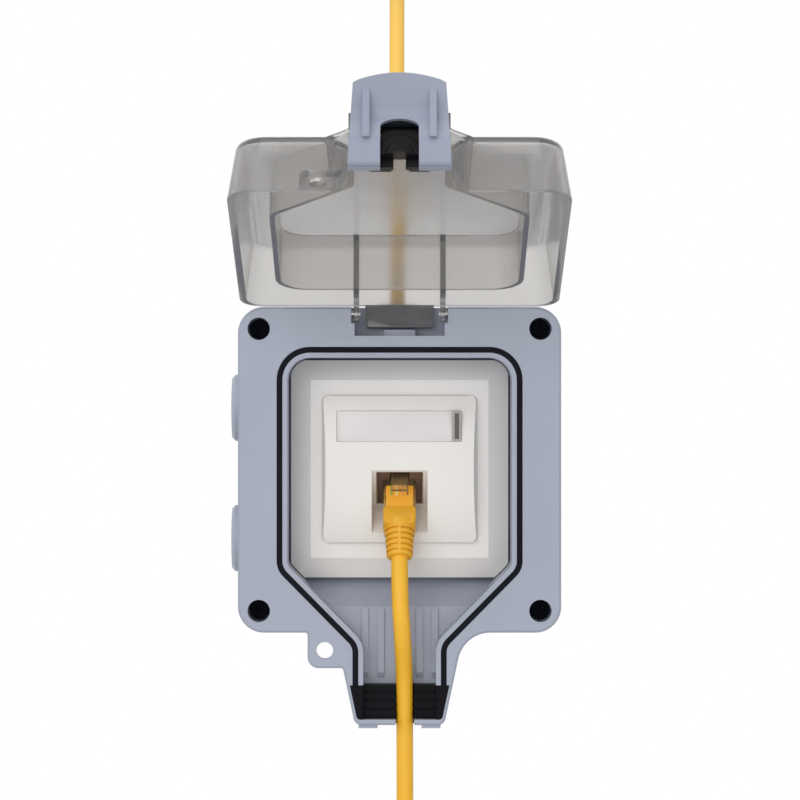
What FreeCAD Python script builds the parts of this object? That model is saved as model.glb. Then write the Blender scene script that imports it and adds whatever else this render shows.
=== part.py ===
import FreeCAD, Part
import math, os
from FreeCAD import Vector, Placement, Rotation

# A weatherproof surface-mount box for one angled data jack, its lid standing open.
# X runs to the right, Z up, and the wall is the plane y = 0, so depths from the wall run along -Y.

os.makedirs("parts", exist_ok=True)

# Overlaps of bodies that are joined, tolerances in picking and joining edges, and reaches past an end
overlap = 0.5
small_overlap = 0.2
pick = 0.01
touching = 0.001
past = 1.0
beyond = 20.0

# Front frame, seen from the front
frame_width = 118.0
frame_height = 118.9
frame_corner = 9.5
frame_edge = 0.8
skirt_wall = 2.6
front_plate = 3.2

# Depths from the wall
box_depth = 37.0
gasket_thick = 1.0
gasket_hole_gap = 0.4
frame_depth = 14.0
window_trim = 0.6
recess_depth = 28.0
recess_floor = 3.0
front = box_depth + gasket_thick + frame_depth
frame_back = box_depth + gasket_thick
seat = front - recess_depth
half_x, half_z = frame_width / 2, frame_height / 2

# Neck of the frame with the cord outlet, and the padlock tab beside it
neck_length = 33.75
neck_end = -half_z - neck_length
neck_tip = 16.3
neck_taper = 0.2128
neck_flare = 12.0
neck_corner = 3.0
tab_left = 33.6
tab_drop = 12.95
tab_bottom = -half_z - tab_drop
tab_corner = 4.0
tab_thick = 3.4
tab_inner_corner = 1.0
eye_x = -27.3
eye_drop = 6.45
eye_z = -half_z - eye_drop
eye_radius = 3.05

# Lid seal in its groove, and the lip inside it
seal_half = 44.9
seal_top_corner = 12.2
seal_side_end = -36.5
seal_side_corner = 8.0
seal_neck_half = 17.2
seal_neck_start = -64.6
seal_neck_corner = 5.0
seal_width = 2.15
groove_depth = 2.0
seal_play = 0.02
lip_inset = 3.9
frame_split_above = 3.5
bowl_wall = 2.0

# Back box
box_inset = 0.6
box_wall = 2.8
box_floor = 3.0
wall_screw_pitch = 84.0
wall_screw_radius = 2.5
wall_boss_radius = 5.0
wall_boss_height = 3.0
post_radius = 5.0
pilot_radius = 1.6
pilot_floor = 5.0
entry_depth = 19.0
entry_radius = 10.25
entry_upper_z = 22.6
entry_lower_z = -26.1

# Corner screws of the frame
screw_from_side = 7.6
screw_x = half_x - screw_from_side
screw_from_end = 7.95
screw_z = half_z - screw_from_end
screw_well_radius = 4.1
screw_well_plate = 3.0
screw_well_floor = frame_back + screw_well_plate
screw_shank_radius = 1.5
screw_head_radius = 3.6
screw_head_height = 2.4
screw_hole_radius = 2.1
screw_length = 20.0
drive_radius = 1.4
drive_half = 0.35
drive_depth = 1.2
screw_post_radius = 6.3

# Floor of the chute, from the recess to the outlet
chute_top = -41.2
chute_bend = -50.5
outlet_length = 14.6
outlet_top = neck_end + outlet_length
chute_bend_rise = 0.8
chute_bend_depth = frame_back + chute_bend_rise
chute_end_rise = 3.0
chute_end_depth = frame_back + chute_end_rise
chute_plate = 2.4
chute_rib_places = (-12.7, -6.9, 7.3, 13.0)
chute_rib_width = 2.4
chute_rib_height = 0.9
chute_rib_toe = 0.1
chute_rib_slope = 2.0
chute_rib_top = -51.0
chute_rib_bottom = -76.6

# Rubber block in the outlet
outlet_wall = 1.2
outlet_end_wall = 2.0
outlet_plate = 2.4
outlet_floor = frame_back + outlet_plate
outlet_sink = 4.4
outlet_face = front - outlet_sink
outlet_cheek = 1.6
outlet_cheek_drop = 0.2
outlet_corner = 1.5
outlet_rib_pitch = 3.1
outlet_rib_groove = 1.0

# Patch cord and supply cable
cord_radius = 3.1
cord_x = 1.95
cord_sink = 7.4
cord_outlet_depth = front - cord_sink
cord_slot_gap = 0.3
bend_share = 0.45
# Bends of the patch cord: to the right, in front of the frame, and above the neck's end
cord_lead = 14.0
cord_over_lip = (1.0, 2.8, 33.2)
cord_in_chute = (1.7, -4.8, 20.2)
cord_in_outlet = (1.85, -7.2, 7.2)
cord_below = (cord_x, -cord_sink, -15.8)
cable_radius = 2.8
cable_x = -0.9
cable_depth = 17.0
cable_fit = 0.08
cable_sway = 0.3
cable_bends = (66.0, 118.0)

# Hinge of the lid
hinge_from_end = 2.45
hinge_z = half_z - hinge_from_end
hinge_behind = 4.6
notch_half = 16.45
notch_reach = 10.55
notch_bottom = half_z - notch_reach
notch_depth = 12.8
notch_back = front - notch_depth
notch_block_half = 22.5
notch_block_wall = 2.0
eye_slot_half = 17.7
eye_slot_reach = 5.95
eye_slot_bottom = half_z - eye_slot_reach
eye_slot_depth = 5.0
lug_half = 5.7
lug_height = 2.3
lug_top = notch_bottom + lug_height
lug_sink = 6.0
lug_front = front - lug_sink
knuckle_radius = 2.9
arm_inner = 14.8
arm_outer = 16.8
hinge_pin_radius = 1.0
hinge_pin_end = 21.6
hinge_pin_proud = 0.4
pin_play = 0.05
flap_half = 12.6
flap_reach = 8.6

# Lid, in its closed place
lid_side_inset = 0.5
lid_half = half_x - lid_side_inset
lid_above_hinge = 6.6
lid_overhang = 1.05
lid_below_hinge = hinge_z + half_z + lid_overhang
rim_gap = 0.4
lid_wall = 2.0
lid_top_corner = 9.0
lid_free_corner = 10.0
lid_height = 22.2
lid_bend_above = 3.45
lid_bend_z = lid_bend_above - half_z
lid_neck_height = 10.5
lid_edge = 2.0
lid_below_rim = 5.0
lid_neck_gap = 0.4
lid_neck_corner = 5.4
lid_neck_inset = 0.8
lid_neck_end = neck_end + lid_neck_inset
lid_rib = 1.8
lid_rib_inset = 0.2
lid_lug_thick = 3.0
open_angle = 107.0

# Half-round grommet in the end of the lid
grommet_sink = 1.0
grommet_flange = 9.9
grommet_body = 8.9
grommet_core = 5.9
grommet_step = 0.9
grommet_gap = 0.6
grommet_foot_gap_left = -2.7
grommet_foot_gap_right = 3.2
grommet_foot_half = 9.9
grommet_foot_reach = 3.9
grommet_foot_length = 7.8
grommet_foot_start = lid_neck_end + grommet_foot_length
grommet_notch = 2.0
grommet_thick = 2.0
grommet_play = 0.02

# Latch on the lid, its profile given below the neck's end and in front of the lid's rim
latch_pivot_below = 1.1
latch_pivot_front = 10.0
latch_pin_radius = 0.8
latch_thick = 2.0
latch_tab = (10.0, 25.0)
latch_valley = (3.7, 12.5)
latch_ridge = (7.2, 3.0)
latch_toe = (5.2, -5.5)
latch_top_half = 15.6
latch_toe_half = 17.0
latch_slot_half = 6.35
latch_slot_top = 13.0
latch_gusset = 2.2
latch_gusset_share = 0.6
latch_gusset_x = 11.2
latch_hook_thick = 2.0
latch_knuckle = 1.9
latch_ear_inner = 12.4
latch_ear_outer = 15.2
latch_knuckle_inner = 8.4
latch_foot_narrow = (0.3, 0.5)
latch_foot_wide = (2.5, -0.8)
latch_ear_spread = 2.0
latch_play = 0.2
ledge_inner = 8.0
ledge_outer = 15.0
ledge_thick = 1.4
ledge_reach = 1.2
hook_play = 0.3

# Cover frame and centre plate
cover_play = 0.75
cover_half = seal_half - lip_inset - cover_play
cover_corner = 5.0
cover_inner_corner = 1.0
cover_edge_height = 6.0
cover_rise = 3.8
cover_border = 7.4
cover_wall = 1.8
cover_gap = 0.35
opening_half = 27.2
plate_half_x = 27.3
plate_half_z = 27.1
plate_corner = 2.2
plate_edge_height = 1.3
plate_crown = 4.6
plate_flank = 1.5
plate_wall = 2.0
plate_skirt_half = 26.9
plate_skirt_depth = 6.0
plate_lift = 0.05
plate_back_reach = 12.0
lining_drop = 1.5
window_left = -23.3
window_right = 22.9
window_bottom = 10.1
window_top = 21.6
window_pocket = 1.7
window_crown_share = 0.4
window_corner = 0.4
window_frame = 1.2
window_sink = 0.15
window_gap = 0.15
window_notch = 3.5
window_notch_end = 1.0
window_notch_margin = 0.8
card_thick = 0.4

# Angled jack: the inner corner of the notch in the centre plate, and the socket above it
jack_tilt = 135.0
notch_corner_z = -13.5
notch_corner_rise = 2.6
notch_corner_depth = seat + notch_corner_rise
jack_notch_half = 10.3
jack_window_half = 8.7
jack_window_height = 17.4
jack_window_margin = 0.2
notch_wall = 1.5
jack_half = 8.2
shield_sheet = 0.35
shield_proud = 1.2
jack_gap = 0.1
jack_front = -1.6
jack_length = 18.0
plug_width = 11.7
plug_height = 8.0
plug_drop = -1.2
plug_front = -12.0
plug_rear = 12.6
plug_clearance = 0.15
plug_nose_gap = 0.4
plug_edge = 0.4
lever_width = 6.2
lever_thick = 1.0
lever_rise = 3.0
lever_bend = 16.0
lever_length = 19.0
lever_root = (0.4, 1.0, 3.2)
lever_root_rise = 0.2
lever_side_gap = 0.3
blade_count = 8
blade_pitch = 1.02
blade_thick = 0.3
blade_length = 5.0
blade_height = 1.4
blade_start = 0.8
blade_gap = 0.02
contact_room = 1.3
contact_room_end = 2.0
contact_wire = 0.4
contact_length = 8.3
contact_start = -0.3
contact_drop = 1.2
contact_tip_start = 2.0
contact_tip_drop = 1.1
contact_tip_height = 0.8
contact_tip_length = 1.2
cap_length = 7.0
cap_step = 1.5
cap_collar_radius = 4.3
cap_collar_top = 26.0
cap_collar_bottom = 10.0
cable_start = 20.0

# Boot of the plug
boot_width = 12.2
boot_block = 5.6
boot_tail = 13.4
boot_tail_radius = 4.9
boot_neck_radius = 5.6
boot_bend = 20.0
boot_rows = 5
boot_row_pitch = 2.1
boot_groove = 0.9
boot_groove_reach = 8.0
boot_web = 4.0
boot_spine = 1.0
boot_edge = 1.2
boot_block_trim = 0.6
boot_block_overlap = 1.2
boot_tail_edge = 0.7
boot_first_row = 2.6

# Mounting bridge
bridge_inset = 5.25
bridge_half = cover_half - bridge_inset
bridge_corner = 4.0
bridge_window_corner = 1.0
bridge_sheet = 1.2
bridge_window = 26.6
bridge_screw_pitch = 60.0
bridge_screw_radius = 1.5
bridge_hole_radius = 1.7
bridge_head_radius = 3.0
bridge_head_height = 1.6
bridge_screw_length = 6.0

# Blanking plugs of the side entries, bush of the top entry
blank_flange_radius = 12.4
blank_flange_thick = 4.0
blank_flange_edge = 1.2
blank_body_length = 6.0
blank_gap = 0.1
blank_wall = 2.0
bush_groove_radius = 7.0
bush_flange_radius = 9.5
bush_flange_thick = 2.0
bush_gap = 0.05
bush_cone = 2.5
bush_inner_step = 1.0
bush_cable_gap = 0.35

# Conduit end on the wall above, just outside the view
conduit_bottom = 182.0
conduit_length = 26.0
conduit_radius = 10.0
conduit_foot_half = 8.0
conduit_foot_inset = 5.0
conduit_edge = 1.0
conduit_insert = 6.0

# Coil of the patch cord below the view
coil_radius = 34.0
coil_below = 101.8
coil_z = neck_end - coil_below
coil_lead = 64.0
coil_lead_step = 18.0
coil_sway = (0.0, 0.5, -0.2)
coil_turns = 1.5
coil_step = 30.0
coil_spacing = 6.5
coil_cross_from = 195.0
coil_cross_to = 345.0
tie_width = 8.0
tie_thick = 1.4
tie_gap = 0.3
tie_sag = 0.4
far_lead = 26.0
far_sway = 0.12
far_gap = 0.03
far_bend = far_lead / 3


def corner_wire(corners):
    """A closed wire in the XZ plane with a round of its own at each (x, z, radius)."""
    count = len(corners)
    ends = []
    for i, (x, z, radius) in enumerate(corners):
        point = Vector(x, 0, z)
        before = Vector(corners[i - 1][0], 0, corners[i - 1][1]) - point
        after = Vector(corners[(i + 1) % count][0], 0, corners[(i + 1) % count][1]) - point
        before.normalize()
        after.normalize()
        half = before.getAngle(after) / 2
        reach = radius / math.tan(half)
        middle = before + after
        middle.normalize()
        centre = point + middle * (radius / math.sin(half))
        ends.append((point + before * reach, centre - middle * radius, point + after * reach))
    edges = []
    for i, (start, middle, end) in enumerate(ends):
        if corners[i][2] > 0:
            edges.append(Part.Arc(start, middle, end).toShape())
        following = ends[(i + 1) % count][0]
        if end.distanceToPoint(following) > touching:
            edges.append(Part.LineSegment(end, following).toShape())
    return Part.Wire(edges)


def outline(corners, grow=0.0):
    """A flat face of the outline at the wall, grown or inset."""
    face = Part.Face(corner_wire(corners))
    if grow:
        face = face.makeOffset2D(grow)
    return face


def slab(face, near, far):
    """The face extruded between two depths from the wall."""
    moved = face.copy()
    moved.translate(Vector(0, -near, 0))
    return moved.extrude(Vector(0, near - far, 0))


def rectangle(half_x, half_z, radius):
    return [(half_x, half_z, radius), (half_x, -half_z, radius),
            (-half_x, -half_z, radius), (-half_x, half_z, radius)]


def block(x0, x1, depth0, depth1, z0, z1):
    return Part.makeBox(x1 - x0, depth1 - depth0, z1 - z0, Vector(x0, -depth1, z0))


def rod(radius, x, z, depth0, depth1):
    """A cylinder that stands out from the wall."""
    return Part.makeCylinder(radius, depth1 - depth0, Vector(x, -depth0, z), Vector(0, -1, 0))


def cross_rod(radius, x0, x1, depth, z):
    """A cylinder along X."""
    return Part.makeCylinder(radius, x1 - x0, Vector(x0, -depth, z), Vector(1, 0, 0))


def side_prism(points, x0, x1):
    """A profile of (depth, z) points extruded along X."""
    wire = Part.makePolygon([Vector(x0, -depth, z) for depth, z in points + points[:1]])
    return Part.Face(wire).extrude(Vector(x1 - x0, 0, 0))


def fuse(first, *others):
    return first.fuse(list(others)).removeSplitter()


def save(name, shape):
    shape.exportStep("parts/" + name + ".step")
    print(name, "solids", len(shape.Solids), "volume", round(shape.Volume, 1), "valid", shape.isValid())


def neck_half(z):
    return neck_tip + (z - neck_end) * neck_taper


def frame_corners():
    return [(half_x, half_z, frame_corner), (half_x, -half_z, frame_corner),
            (neck_half(-half_z), -half_z, neck_flare), (neck_tip, neck_end, neck_corner),
            (-neck_tip, neck_end, neck_corner), (-neck_half(tab_bottom), tab_bottom, tab_inner_corner),
            (-tab_left, tab_bottom, tab_corner), (-tab_left, -half_z, tab_inner_corner),
            (-half_x, -half_z, frame_corner), (-half_x, half_z, frame_corner)]


def seal_corners(bottom):
    return [(seal_half, seal_half, seal_top_corner), (seal_half, seal_side_end, seal_side_corner),
            (seal_neck_half, seal_neck_start, seal_neck_corner), (seal_neck_half, bottom, 0),
            (-seal_neck_half, bottom, 0), (-seal_neck_half, seal_neck_start, seal_neck_corner),
            (-seal_half, seal_side_end, seal_side_corner), (-seal_half, seal_half, seal_top_corner)]


hinge_depth = front - hinge_behind
hinge_point = Vector(0, -hinge_depth, hinge_z)
rim = front + rim_gap
seal_face = outline(seal_corners(outlet_top - beyond))
inner_face = outline(seal_corners(outlet_top - beyond), -seal_width)
recess_face = outline(seal_corners(outlet_top - beyond), -lip_inset)
bowl_face = outline(seal_corners(outlet_top - beyond), bowl_wall - lip_inset)


def chute_surface(lower_by):
    """Profile of the chute's floor, down to a plate's thickness behind it."""
    top = chute_top + overlap
    return [(seat - lower_by, top), (seat, top), (chute_bend_depth, chute_bend),
            (chute_end_depth, outlet_top), (chute_end_depth, outlet_top - past),
            (frame_back, outlet_top - past), (frame_back, chute_bend)]


def cord_slot(near_z, far_z):
    radius = cord_radius + cord_slot_gap
    slot = block(cord_x - radius, cord_x + radius, cord_outlet_depth, front + past, near_z, far_z)
    round_end = Part.makeCylinder(radius, far_z - near_z, Vector(cord_x, -cord_outlet_depth, near_z))
    return slot.fuse(round_end)


def make_front_frame():
    body = slab(outline(frame_corners()), frame_back, front)
    front_edges = [e for e in body.Edges if all(abs(v.Y + front) < pick for v in e.Vertexes)]
    body = body.makeChamfer(frame_edge, front_edges)
    hollow = slab(outline(frame_corners(), -skirt_wall), frame_back, front - front_plate)
    hollow = hollow.common(block(-frame_width, frame_width, 0, front, -half_z + skirt_wall, half_z))
    body = body.cut(hollow)
    body = body.cut(block(-tab_left - past, -neck_half(tab_bottom) - small_overlap, 0, front - tab_thick,
                          tab_bottom - past, -half_z))
    below = block(-frame_width, frame_width, 0, front, chute_top - bowl_wall, half_z)
    bowl = slab(bowl_face, seat - recess_floor, front - overlap).common(below)
    within = slab(outline(rectangle(half_x - past, half_z - past, frame_corner)), frame_back, front - past)
    posts = [rod(screw_post_radius, x, z, frame_back, front - past).common(within)
             for x, z in screw_places()]
    pocket = block(-notch_block_half, notch_block_half, frame_back, front - past,
                   notch_bottom - notch_block_wall, half_z - past)
    throat = slab(bowl_face, frame_back, front - overlap)
    throat = throat.common(block(-seal_half, seal_half, 0, front, outlet_top, chute_top))
    body = fuse(body, bowl, pocket, throat, *posts)
    within = block(-frame_width, frame_width, 0, front + beyond, outlet_top, half_z)
    body = body.cut(slab(recess_face, seat, front + past).common(within))
    ramp = side_prism(chute_surface(recess_floor), -seal_half, seal_half)
    ramp = ramp.common(slab(recess_face.makeOffset2D(overlap), 0, front))
    under = side_prism([(seat - recess_floor, chute_top + past), (frame_back, chute_bend - chute_plate),
                        (frame_back - beyond, chute_bend - chute_plate)], -seal_half, seal_half)
    body = fuse(body, ramp.cut(under))
    groove = slab(seal_face, front - groove_depth, front + past).cut(slab(inner_face, 0, front + beyond))
    body = body.cut(groove.common(within))
    body = body.cut(outlet_pocket(0.0))
    body = body.cut(cord_slot(neck_end - past, outlet_top))
    body = body.cut(block(-notch_half, notch_half, notch_back, front + past, notch_bottom, half_z + past))
    body = body.cut(block(-eye_slot_half, eye_slot_half, hinge_depth - eye_slot_depth, front + past,
                          eye_slot_bottom, half_z + past))
    body = body.cut(cross_rod(hinge_pin_radius, -hinge_pin_end, hinge_pin_end, hinge_depth, hinge_z))
    lug = block(-lug_half, lug_half, notch_back - small_overlap, lug_front,
                notch_bottom - small_overlap, lug_top)
    body = fuse(body, lug, *make_chute_ribs(), *make_ledges())
    for x, z in screw_places():
        body = body.cut(rod(screw_well_radius, x, z, screw_well_floor, front + past))
        body = body.cut(rod(screw_hole_radius, x, z, 0, front))
    body = body.cut(rod(eye_radius, eye_x, eye_z, 0, front + past))
    window = bridge_window - window_trim
    body = body.cut(block(-window, window, 0, seat + past, -window, window))
    for x in (-bridge_screw_pitch / 2, bridge_screw_pitch / 2):
        body = body.cut(rod(bridge_screw_radius, x, 0, 0, seat + past))
    return body


def save_front_frame():
    """The one moulding as six nodes that touch along flat cuts, so that each has a simple shape."""
    body = make_front_frame()
    side, split_z = seal_half - lip_inset, seal_side_end + frame_split_above
    tub = slab(bowl_face, 0, front - front_plate).fuse(block(-side, side, 0, front, split_z, side))
    tub = tub.common(block(-half_x, half_x, 0, front + past, outlet_top, half_z))
    rest = body.cut(tub)
    far = half_x + beyond
    top = half_z + beyond
    bottom = neck_end - beyond
    save("recess_tub", body.common(tub))
    save("frame_left", rest.common(block(-far, -side, 0, front + past, split_z, top)))
    save("frame_right", rest.common(block(side, far, 0, front + past, split_z, top)))
    save("frame_top", rest.common(block(-side, side, 0, front + past, split_z, top)))
    save("neck_left", rest.common(block(-far, cord_x, 0, front + past, bottom, split_z)))
    save("neck_right", rest.common(block(cord_x, far, 0, front + past, bottom, split_z)))


def outlet_pocket(inset):
    """Room of the rubber block, between the neck's sides and its end wall."""
    top, bottom = outlet_top - inset, neck_end + outlet_end_wall + inset
    side_top = neck_half(top) - outlet_wall - inset
    side_bottom = neck_half(bottom) - outlet_wall - inset
    face = outline([(side_top, top, 0), (side_bottom, bottom, outlet_corner),
                    (-side_bottom, bottom, outlet_corner), (-side_top, top, 0)])
    return slab(face, outlet_floor + inset, front + past)


def make_chute_ribs():
    slope = (chute_end_depth - chute_bend_depth) / (chute_bend - outlet_top)
    ribs = []
    for x in chute_rib_places:
        near, far = chute_rib_bottom, chute_rib_top
        depth = [chute_bend_depth + (chute_bend - z) * slope for z in (near, far)]
        points = [(depth[0] - past, near), (depth[0] + chute_rib_toe, near),
                  (depth[0] + chute_rib_height, near + chute_rib_slope),
                  (depth[1] + chute_rib_height, far), (depth[1] - past, far)]
        half = chute_rib_width / 2
        ribs.append(side_prism(points, x - half, x + half).common(slab(recess_face, 0, front)))
    return ribs


def make_ledges():
    """Two catches under the neck for the latch's hooks."""
    depth = rim + latch_toe[1] + latch_hook_thick + hook_play
    return [block(x0, x1, depth, depth + ledge_thick, neck_end - ledge_reach, neck_end + small_overlap)
            for x0, x1 in ((-ledge_outer, -ledge_inner), (ledge_inner, ledge_outer))]


def make_lid_seal():
    ring = slab(seal_face.makeOffset2D(-seal_play), front - groove_depth, front).cut(
        slab(inner_face.makeOffset2D(seal_play), 0, front + past))
    return ring.common(block(-seal_half, seal_half, 0, front, outlet_top, half_z))


def make_outlet_seal():
    top = front - outlet_cheek_drop
    body = outlet_pocket(0.0).common(block(-frame_width, frame_width, 0, top, neck_end, 0))
    half = neck_tip - outlet_wall - outlet_cheek
    body = body.cut(block(-half, half, outlet_face, front + past, neck_end, 0))
    body = body.cut(cord_slot(neck_end - past, outlet_top + past))
    z = outlet_top - outlet_rib_pitch
    while z > neck_end + outlet_end_wall + outlet_rib_groove:
        body = body.cut(block(-half, half, outlet_face - outlet_rib_groove, front, z, z + outlet_rib_groove))
        z -= outlet_rib_pitch
    return body


def box_outline(grow=0.0):
    return outline(rectangle(half_x - box_inset, half_z - box_inset, frame_corner - box_inset), grow)


def make_back_box():
    body = slab(box_outline(), 0, box_depth).cut(slab(box_outline(-box_wall), box_floor, box_depth + past))
    inside = slab(box_outline(-overlap), 0, box_depth)
    posts = [rod(post_radius, x, z, box_floor - past, box_depth).common(inside) for x, z in screw_places()]
    bosses = [rod(wall_boss_radius, x, z, box_floor - past, box_floor + wall_boss_height)
              for x, z in wall_screw_places()]
    body = fuse(body, *posts, *bosses)
    for x, z in screw_places():
        body = body.cut(rod(pilot_radius, x, z, pilot_floor, box_depth + past))
    for x, z in wall_screw_places():
        body = body.cut(rod(wall_screw_radius, x, z, -past, box_depth))
    side = half_x - box_inset
    for z in (entry_upper_z, entry_lower_z):
        body = body.cut(cross_rod(entry_radius, -side - past, -side + box_wall + past, entry_depth, z))
    top = half_z - box_inset
    return body.cut(Part.makeCylinder(bush_groove_radius, box_wall + 2 * past,
                                      Vector(cable_x, -cable_depth, top - box_wall - past)))


def screw_places():
    return [(x, z) for x in (-screw_x, screw_x) for z in (-screw_z, screw_z)]


def wall_screw_places():
    pitch = wall_screw_pitch / 2
    return [(x, z) for x in (-pitch, pitch) for z in (-pitch, pitch)]


def make_frame_gasket():
    ring = slab(box_outline(), box_depth, frame_back).cut(slab(box_outline(-box_wall), 0, front))
    for x, z in screw_places():
        ring = ring.cut(rod(screw_hole_radius + gasket_hole_gap, x, z, 0, front))
    return ring


def make_screw(shank, head, head_height, x, z, under_head, length):
    """A cross-recess screw, its head towards the viewer."""
    body = rod(shank, x, z, under_head - length, under_head + small_overlap)
    body = fuse(body, rod(head, x, z, under_head, under_head + head_height))
    top = under_head + head_height
    for wide, tall in ((drive_radius, drive_half), (drive_half, drive_radius)):
        body = body.cut(block(x - wide, x + wide, top - drive_depth, top + past, z - tall, z + tall))
    return body


def make_frame_screws():
    return Part.makeCompound([
        make_screw(screw_shank_radius, screw_head_radius, screw_head_height, x, z, screw_well_floor,
                   screw_length) for x, z in screw_places()])


def make_hinge_pins():
    inner = arm_inner - hinge_pin_proud
    return Part.makeCompound([cross_rod(hinge_pin_radius, inner, hinge_pin_end, hinge_depth, hinge_z),
                              cross_rod(hinge_pin_radius, -hinge_pin_end, -inner, hinge_depth, hinge_z)])


def make_mounting_bridge():
    body = slab(outline(rectangle(bridge_half, bridge_half, bridge_corner)), seat, seat + bridge_sheet)
    body = body.cut(slab(outline(rectangle(bridge_window, bridge_window, bridge_window_corner)), 0, front))
    for x, z in ((1, 0), (-1, 0), (0, 1), (0, -1)):
        reach = bridge_screw_pitch / 2
        body = body.cut(rod(bridge_hole_radius, x * reach, z * reach, 0, front))
    return body


def make_bridge_screws():
    return Part.makeCompound([
        make_screw(bridge_screw_radius, bridge_head_radius, bridge_head_height, x, 0, seat + bridge_sheet,
                   bridge_screw_length) for x in (-bridge_screw_pitch / 2, bridge_screw_pitch / 2)])


def cover_room(grow):
    """The recess less a gap, which trims the cover frame's lower corners."""
    return slab(recess_face.makeOffset2D(-cover_gap - grow), seat, front).common(
        block(-cover_half - grow, cover_half + grow, 0, front, -cover_half - grow, cover_half))


def border_wedges():
    """Four wedges that leave the cover frame's border sloping."""
    edge = seat + cover_edge_height
    top = cover_half
    flat = cover_half - cover_border
    high = edge + cover_rise + past
    reach = top + (top - flat)
    wedge = side_prism([(edge - cover_rise, reach), (high + cover_rise, reach),
                        (high + cover_rise, flat - (top - flat) * (high - edge) / cover_rise),
                        (edge + cover_rise, flat)], -frame_width / 2, frame_width / 2)
    wedges = []
    for turn in range(4):
        turned = wedge.copy()
        turned.rotate(Vector(0, 0, 0), Vector(0, 1, 0), 90 * turn)
        wedges.append(turned)
    return wedges


def make_cover_frame():
    top = seat + cover_edge_height + cover_rise
    body = slab(outline(rectangle(cover_half, cover_half, cover_corner)), seat, top).common(cover_room(0))
    body = body.cut(border_wedges())
    inner = cover_half - cover_wall
    hollow = slab(outline(rectangle(inner, inner, cover_inner_corner)), seat - past, top - cover_wall)
    room = cover_room(cover_wall)
    hollow = hollow.common(room.fuse(room.translated(Vector(0, past, 0))))
    for wedge in border_wedges():
        hollow = hollow.cut(wedge.translated(Vector(0, cover_wall, 0)))
    body = body.cut(hollow)
    return body.cut(slab(outline(rectangle(opening_half, opening_half, plate_corner)), 0, front))


def crown_profile(drop):
    """Side view of the centre plate: flat behind, crowned in front."""
    base = seat + cover_edge_height + cover_rise + plate_lift
    low, high = base + plate_edge_height - drop, base + plate_edge_height + plate_crown - drop
    half = plate_half_z + past
    arc = Part.Arc(Vector(0, -low, -half), Vector(0, -high, 0), Vector(0, -low, half)).toShape()
    back = plate_back_reach - base
    corners = [Vector(0, -low, half), Vector(0, back, half), Vector(0, back, -half), Vector(0, -low, -half)]
    wire = Part.Wire([arc] + [Part.LineSegment(a, b).toShape() for a, b in zip(corners, corners[1:])])
    face = Part.Face(wire)
    face.translate(Vector(-frame_width / 2, 0, 0))
    return face.extrude(Vector(frame_width, 0, 0))


def jack_place(shape):
    """Puts a piece built round the socket's axis (out along Z, up the face along Y) in its place."""
    angle = math.radians(jack_tilt)
    up = Vector(0, math.cos(angle), math.sin(angle))
    corner = Vector(0, -notch_corner_depth, notch_corner_z)
    origin = corner + up * (jack_window_height / 2 + jack_window_margin)
    shape.Placement = Placement(origin, Rotation(Vector(1, 0, 0), jack_tilt))
    return shape


def local_box(half_x, low_y, high_y, low_z, high_z):
    return Part.makeBox(2 * half_x, high_y - low_y, high_z - low_z, Vector(-half_x, low_y, low_z))


def notch_space(grow):
    """The V-shaped notch below the label window: the socket's wall above, a ramp below."""
    half = jack_window_height / 2 + jack_window_margin
    space = local_box(jack_notch_half + grow, -half - grow, beyond, -grow, beyond + half)
    return jack_place(space)


def make_centre_plate():
    base = seat + cover_edge_height + cover_rise + plate_lift
    front_wire = corner_wire(rectangle(plate_half_x, plate_half_z, plate_corner))
    back_wire = corner_wire(rectangle(plate_half_x + plate_flank, plate_half_z, plate_corner))
    front_wire.translate(Vector(0, -base - plate_edge_height - plate_crown, 0))
    back_wire.translate(Vector(0, -base, 0))
    cap = Part.makeLoft([back_wire, front_wire], True)
    skirt = slab(outline(rectangle(plate_skirt_half, plate_skirt_half, plate_corner)),
                 base - plate_skirt_depth, base + overlap)
    inner = plate_skirt_half - plate_wall
    hollow = slab(outline(rectangle(inner, inner, plate_corner / 2)), 0, front)
    crown_inside = crown_profile(plate_wall)
    body = fuse(cap.common(crown_profile(0)), skirt)
    body = body.cut(hollow.common(crown_inside))
    under_crown = crown_profile(overlap)
    reach = slab(outline(rectangle(inner + overlap, inner + overlap, plate_corner)),
                 seat + bridge_sheet - lining_drop, front)
    lining = notch_space(notch_wall).common(reach).common(under_crown)
    ledge = block(window_left - window_frame, window_right + window_frame, window_floor() - window_frame,
                  front, window_bottom - window_frame, window_top + window_frame).common(under_crown)
    body = fuse(body, lining, ledge)
    body = body.cut(notch_space(0))
    body = body.cut(jack_place(local_box(jack_window_half, -jack_window_height / 2,
                                         jack_window_height / 2, -beyond, past)))
    return body.cut(slab(window_outline(0), window_floor(), front))


def window_outline(inset):
    left, right = window_left + inset, window_right - inset
    low, high = window_bottom + inset, window_top - inset
    return outline([(right, high, window_corner), (right, low, window_corner),
                    (left, low, window_corner), (left, high, window_corner)])


def window_floor():
    """Depth of the label pocket's floor, below the crown at the window's upper edge."""
    base = seat + cover_edge_height + cover_rise + plate_lift
    return base + plate_edge_height + plate_crown * window_crown_share - window_pocket


def make_label_card():
    return slab(window_outline(2 * window_gap), window_floor(), window_floor() + card_thick)


def make_label_window():
    base = window_floor() + card_thick
    body = slab(window_outline(window_gap), base, front).common(crown_profile(window_sink))
    notch = block(window_right - window_gap - window_notch, window_right - window_notch_end,
                  base + window_notch_margin, front, window_bottom + window_notch_margin,
                  window_top - window_notch_margin)
    return body.cut(notch)


def make_jack_shield():
    outer = jack_half + jack_gap + shield_sheet
    low = jack_front - jack_length
    inner = jack_half + jack_gap
    shell = local_box(outer, -outer, outer, low, jack_front + shield_proud)
    shell = shell.cut(local_box(inner, -inner, inner, low - past, jack_front + beyond))
    return jack_place(shell)


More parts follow.
